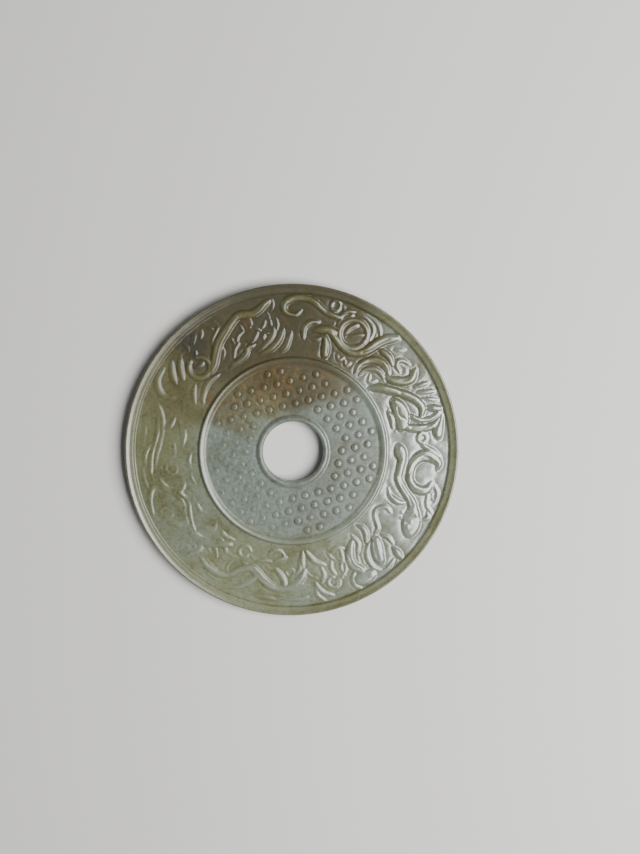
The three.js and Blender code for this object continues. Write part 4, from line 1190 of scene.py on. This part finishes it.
@dataclass(frozen=True)
class PolishedJade:
    """Old nephrite: celadon to olive, with russet skin, stains and a polished, worn surface.

    Args:
        celadon: the stone's main colour.
        pale: its paler clouds, veins and worn edges.
        olive: its olive clouds.
        core: the grey-green heart round the hole.
        core_pale: the heart's paler side.
        edging: the rim.
        russet: specks of the brown zone.
        amber: flecks in the brown part of the grain field.
        grime_and_shade: fine dark clouds, silt with painted shade in the hollows, and painted shade in
            the drilled rings and on the bosses' feet.
        patches: the brown zone and the stains.
        small_patch: size in mm below which a patch has a finer outline.
        bend_of_light: index of refraction of the stone.
        coat_bend: index of refraction of the gloss.
        coat_rough: roughness of the gloss.
        glow: how much light comes back from inside the stone.
        glow_radius: how far red, green and blue travel in it, in proportion.
        glow_depth: that distance in m.
    """

    celadon: Colour = (0.112, 0.134, 0.102)
    pale: Colour = (0.165, 0.192, 0.162)
    # olive: its olive clouds, more of them towards the left as partly painted falloff of light, and the
    # painted shade on the relief's tops.
    olive: Colour = (0.088, 0.092, 0.031)
    core: Colour = (0.1, 0.128, 0.108)
    # core_pale: the heart's paler side, towards the right, partly painted light.
    core_pale: Colour = (0.14, 0.163, 0.152)
    edging: Colour = (0.094, 0.092, 0.036)
    russet: Colour = (0.055, 0.024, 0.004)
    amber: Colour = (0.12, 0.058, 0.003)
    grime_and_shade: Colour = (0.038, 0.03, 0.008)
    patches: tuple[Patch, ...] = (
        Patch(99, 70, 41, 24, (0.021, 0.014, 0.002), 0.97, 12),
        Patch(70, 74, 20, 18, (0.029, 0.022, 0.0055), 0.9, 9),
        Patch(126, 64, 23, 16, (0.028, 0.0205, 0.0042), 0.9, 9),
        Patch(57, 64, 15, 13, (0.042, 0.033, 0.01), 0.88, 9),
        Patch(36, 66, 15, 15, (0.08, 0.077, 0.038), 0.7, 9),
        Patch(154, 66, 17, 14, (0.068, 0.06, 0.019), 0.88, 9),
        Patch(86, 38, 18, 8, (0.034, 0.024, 0.0045), 0.95, 6),
        Patch(112, 37, 14, 8, (0.05, 0.028, 0.004), 0.88, 6),
        Patch(142, 38, 13, 8, (0.06, 0.048, 0.013), 0.85, 6),
        Patch(118, 27, 9, 6, (0.088, 0.076, 0.028), 0.85, 4),
        Patch(148, 26, 7, 9, (0.11, 0.118, 0.07), 0.6, 4),
        Patch(58, 41, 11, 9, (0.056, 0.045, 0.019), 0.75, 6),
        Patch(176, 70, 17, 16, (0.088, 0.09, 0.032), 0.8, 10),
        Patch(250, 72, 26, 20, (0.116, 0.126, 0.058), 0.75, 10),
        Patch(292, 62, 16, 14, (0.13, 0.14, 0.075), 0.6, 8),
        Patch(148, 50.5, 3.0, 2.2, (0.085, 0.028, 0.006), 0.9, 2.5),
        Patch(110, 71, 4.5, 3, (0.05, 0.02, 0.007), 0.8, 3.5),
        Patch(133.5, 75, 7.5, 4, (0.011, 0.005, 0.0004), 0.97, 6),
        Patch(137, 67, 4, 2, (0.01, 0.0045, 0.0004), 0.92, 4),
        Patch(157.5, 71, 1.2, 1.2, (0.03, 0.02, 0.007), 0.8, 1),
        Patch(117, 71, 3.5, 3, (0.032, 0.012, 0.0015), 0.8, 4),
        Patch(123, 67, 3.5, 3, (0.034, 0.013, 0.0015), 0.75, 4),
        Patch(112, 69, 3.6, 3, (0.026, 0.011, 0.002), 0.85, 4),
        Patch(119, 62, 3, 3, (0.02, 0.01, 0.003), 0.8, 4),
        Patch(99, 60, 3.4, 3, (0.022, 0.012, 0.003), 0.75, 4),
        Patch(96, 33, 3.4, 3, (0.075, 0.03, 0.004), 0.8, 4),
        Patch(118, 36, 3, 3, (0.08, 0.034, 0.005), 0.8, 4),
        Patch(51, 82.5, 0.7, 0.9, (0.02, 0.014, 0.005), 0.85, 1.4),
        Patch(205, 54.5, 1.0, 1.1, (0.035, 0.024, 0.007), 0.7, 1),
    )
    small_patch: float = 8.0
    bend_of_light: float = 1.36
    coat_bend: float = 1.72
    coat_rough: float = 0.18
    glow: float = 0.22
    glow_radius: Colour = (1.0, 1.1, 0.7)
    glow_depth: float = 0.0022

    def dress(self) -> bpy.types.Material:
        """The material with its nodes.

        Returns:
            The stone's material.
        """
        jade = bpy.data.materials.new("polished_jade")
        jade.use_nodes = True
        tree = jade.node_tree
        tree.nodes.clear()
        on = StoneMap(tree)
        rough, gloss = self._polish(on)
        bump = make(tree, "ShaderNodeBump", {},
                    {"Strength": 0.13, "Distance": 0.0004,
                     "Height": 0.5 * on.mid + 0.35 * on.fine + 0.15 * on.grit})
        stone = make(tree, "ShaderNodeBsdfPrincipled", {}, {
            "Base Color": self._carving(on, self._skin(on, self._body(on))),
            "Roughness": rough.clamped(), "Coat Weight": gloss.clamped(), "Normal": bump,
            "IOR": self.bend_of_light, "Coat IOR": self.coat_bend, "Coat Roughness": self.coat_rough,
            "Subsurface Weight": self.glow, "Subsurface Radius": self.glow_radius,
            "Subsurface Scale": self.glow_depth})
        end = tree.nodes.new("ShaderNodeOutputMaterial")
        tree.links.new(stone.socket, end.inputs["Surface"])
        return jade

    def _body(self, on: StoneMap) -> Shade:
        """The stone's colour: celadon to olive, with a grey-green heart and an olive rim; its fall from
        the paler right to the darker, more olive left is partly painted light.

        Args:
            on: the stone's maps.

        Returns:
            The colour.
        """
        base = mixed(on.tree, on.slow.over(0.38, 0.64), self.celadon, self.pale)
        # Partly painted light: the heart is paler towards the right.
        heart = mixed(on.tree, 0.5 + 0.7 * on.east + 0.8 * (on.slow - 0.5), self.core, self.core_pale)
        return layered(on.tree, base, [
            # Partly painted falloff of light: darker and more olive towards the left.
            (0.32 - 0.5 * on.east + 1.7 * (on.mid - 0.5) + 1.2 * (on.slow - 0.5), self.olive),
            (on.centre.over(0.047, 0.041) * 0.9, heart),
            (on.centre.over(0.0795, 0.0808) * (0.6 + 0.6 * on.mid), self.edging),
        ])

    def _skin(self, on: StoneMap, colour: Shade) -> Shade:
        """The brown zone and the stains, with russet specks, amber flecks, veins and fine clouds.

        Args:
            on: the stone's maps.
            colour: the stone's own colour.

        Returns:
            The colour with the skin over it.
        """
        broad, close = on.wander(42.0), on.wander(190.0)
        specks = (on.cloud(150.0, 4.0, 0.7, 0.6) - 0.5).over(0.03, 0.13) * on.north.over(0.1, 0.5)
        flecks = (on.cloud(330.0, 4.0, 0.65, 0.6) - 0.5).over(0.0, 0.12) * on.north.over(0.12, 0.42)
        return layered(on.tree, colour, [
            *((on.spot(close if patch.size < self.small_patch else broad, patch), patch.colour)
              for patch in self.patches),
            (specks * 0.5, self.russet),
            (flecks * on.inner * 0.55, self.amber),
            (on.veins() * 0.16, self.pale),
            ((on.mid - 0.45).over(0.0, 0.28) * 0.42, self.grime_and_shade),
            ((on.fine - 0.5).over(0.04, 0.18) * 0.4, self.grime_and_shade),
            ((on.grit - 0.5).over(0.02, 0.16) * 0.32, self.grime_and_shade),
            ((0.5 - on.grit).over(0.02, 0.16) * (0.2 - 0.18 * on.north.over(-0.2, 0.4)), self.pale),
        ])

    def _carving(self, on: StoneMap, colour: Shade) -> Shade:
        """The raised ring's pale ridge, silt and painted shade in the hollows, painted shade in the
        drilled rings, on the bosses' feet and on the relief's tops, and the relief's other tints.

        Args:
            on: the stone's maps.
            colour: the colour with its skin.

        Returns:
            The finished colour.
        """
        ridge = on.centre.over(0.0448, 0.046) * on.centre.over(0.0484, 0.0476)
        return layered(on.tree, colour, [
            (ridge * (0.25 + 0.3 * on.mid) * (1.0 - 0.85 * on.north.over(0.0, 0.4)), self.pale),
            # Painted shade with some silt: the hollows are darkened, more so at the top.
            (on.hollow.over(0.05, 0.7) * (0.35 + 0.4 * on.mid + 0.4 * on.north), self.grime_and_shade),
            # Painted shade: the drilled rings and the bosses' lower parts are darkened.
            (on.drilled * (0.3 + 0.4 * on.mid + 0.2 * on.north), self.grime_and_shade),
            # Painted shade: the relief's tops are darker olive, except in the south, where the tops are
            # paler and the ground beside them olive.
            (on.relief.over(0.1, 0.6) * (0.25 + 0.25 * on.mid) * (1.0 - on.south), self.olive),
            (on.relief.over(0.0, 0.45) * 0.3 * on.south, self.pale),
            (on.relief.over(0.05, -0.1) * on.mid.over(0.38, 0.6) * 0.5 * on.south, self.olive),
        ])

    @staticmethod
    def _polish(on: StoneMap) -> tuple[Shade, Shade]:
        """How rough the stone is and how much gloss lies over it: most on the right.

        Args:
            on: the stone's maps.

        Returns:
            The roughness and the weight of the gloss.
        """
        crest = on.west * on.centre.over(0.0824, 0.0832)
        rough = (0.1 + 0.05 * on.mid + 0.04 * on.fine + 0.1 * on.hollow + 0.1 * on.south
                 + 0.08 * on.inner + 0.08 * on.rim + 0.12 * on.west
                 + (0.14 * on.relief.over(0.1, 0.4) - 0.03) * on.north.over(0.1, 0.6) - 0.1 * crest)
        gloss = (0.4 + 0.46 * on.east.over(-0.2, 0.8) - 0.5 * on.north.over(0.1, 0.6)
                 - 0.2 * on.south - 0.35 * on.inner - 0.12 * on.rim - 0.2 * on.west + 0.3 * crest)
        return rough, gloss


@dataclass
class Studio:
    """The pale floor, the soft lights and the camera.

    Args:
        distance: camera distance in m.
        tilt: lean of the view off the disc's axis in degrees.
        toward: direction of that lean in degrees.
        aim: point that the camera looks at, in m.
        half_floor: half the floor's side in m.
    """

    distance: float = 0.604
    tilt: float = 7.0
    toward: float = 125.0
    aim: tuple[float, float, float] = (0.01375, 0.0125, 0.006)
    half_floor: float = 3.0

    def floor(self) -> bpy.types.Object:
        """The plain pale floor under the disc.

        Returns:
            The floor.
        """
        mesh = bpy.data.meshes.new("studio_floor")
        w = self.half_floor
        mesh.from_pydata([(-w, -w, 0), (w, -w, 0), (w, w, 0), (-w, w, 0)], [], [(0, 1, 2, 3)])
        paint = bpy.data.materials.new("pale_floor")
        paint.use_nodes = True
        shader = paint.node_tree.nodes["Principled BSDF"]
        shader.inputs["Base Color"].default_value = (0.5, 0.495, 0.48, 1)
        shader.inputs["Roughness"].default_value = 0.85
        mesh.materials.append(paint)
        piece = bpy.data.objects.new("studio_floor", mesh)
        bpy.context.scene.collection.objects.link(piece)
        return piece

    def light(self, name: str, place: tuple[float, float, float], size: tuple[float, float],
              power: float, level: bool = False) -> bpy.types.Object:
        """One soft panel that faces the disc, or the floor straight down.

        Args:
            name: its name.
            place: where it hangs, in m.
            size: its two sides in m.
            power: its power in W.
            level: whether it hangs level.

        Returns:
            The light.
        """
        lamp = bpy.data.lights.new(name, "AREA")
        lamp.shape = "RECTANGLE"
        lamp.size, lamp.size_y = size
        lamp.energy = power
        panel = bpy.data.objects.new(name, lamp)
        panel.location = place
        if not level:
            panel.rotation_euler = Vector(place).to_track_quat("Z", "Y").to_euler()
        bpy.context.scene.collection.objects.link(panel)
        return panel

    def lights(self) -> None:
        """The main panel on the right, a weak one on the left and an even surround."""
        self.light("side_panel", (0.857, -0.10, 1.05), (1.19, 0.95), 60.0, level=True)
        self.light("far_panel", (-0.9, 0.5, 0.9), (0.5, 0.5), 2.0)
        world = bpy.data.worlds.new("surround")
        world.use_nodes = True
        back = world.node_tree.nodes["Background"]
        back.inputs["Color"].default_value = (1.0, 0.98, 0.94, 1)
        back.inputs["Strength"].default_value = 0.05
        bpy.context.scene.world = world

    def camera(self) -> bpy.types.Object:
        """The camera over the lying disc, leaning to its far left.

        Returns:
            The scene's camera.
        """
        data = bpy.data.cameras.new("view")
        data.lens = 50
        data.sensor_width = 36
        lean, way = math.radians(self.tilt), math.radians(self.toward)
        off = Vector((math.sin(lean) * math.cos(way), math.sin(lean) * math.sin(way), math.cos(lean)))
        aim = Vector(self.aim)
        eye = bpy.data.objects.new("view", data)
        eye.location = aim + off * self.distance
        back = off.normalized()
        right = Vector((0, 1, 0)).cross(back).normalized()
        up = back.cross(right)
        eye.matrix_world = self._pose(right, up, back, eye.location.copy())
        bpy.context.scene.collection.objects.link(eye)
        bpy.context.scene.camera = eye
        return eye

    @staticmethod
    def _pose(right: Vector, up: Vector, back: Vector, at: Vector) -> Matrix:
        """The camera's matrix from its three directions and its place."""
        return Matrix(((right.x, up.x, back.x, at.x), (right.y, up.y, back.y, at.y),
                       (right.z, up.z, back.z, at.z), (0, 0, 0, 1)))


def settle(piece: bpy.types.Object, *nodes: str) -> None:
    """Says what a finished piece moves with and stands for, and logs its faces.

    Args:
        piece: the finished piece.
        nodes: the solids that it stands for.
    """
    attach(piece, "root")
    if nodes:
        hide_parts(*nodes)
    LOG.info("%s: %d faces", piece.name, len(piece.data.polygons))


def main() -> None:
    """Builds the studio and the stone in order."""
    logging.basicConfig(level=logging.INFO, format="%(name)s: %(message)s")
    studio = Studio()
    studio.floor()
    studio.lights()
    studio.camera()
    jade = PolishedJade().dress()
    disc = CarvedDisc()
    settle(disc.build(jade), "jade_disc")
    settle(disc.grains.build(Face.FRONT, FIELD_LEVEL, jade))
    settle(disc.grains.build(Face.BACK, BACK_LEVEL, jade))


if __name__ == "__main__":
    main()
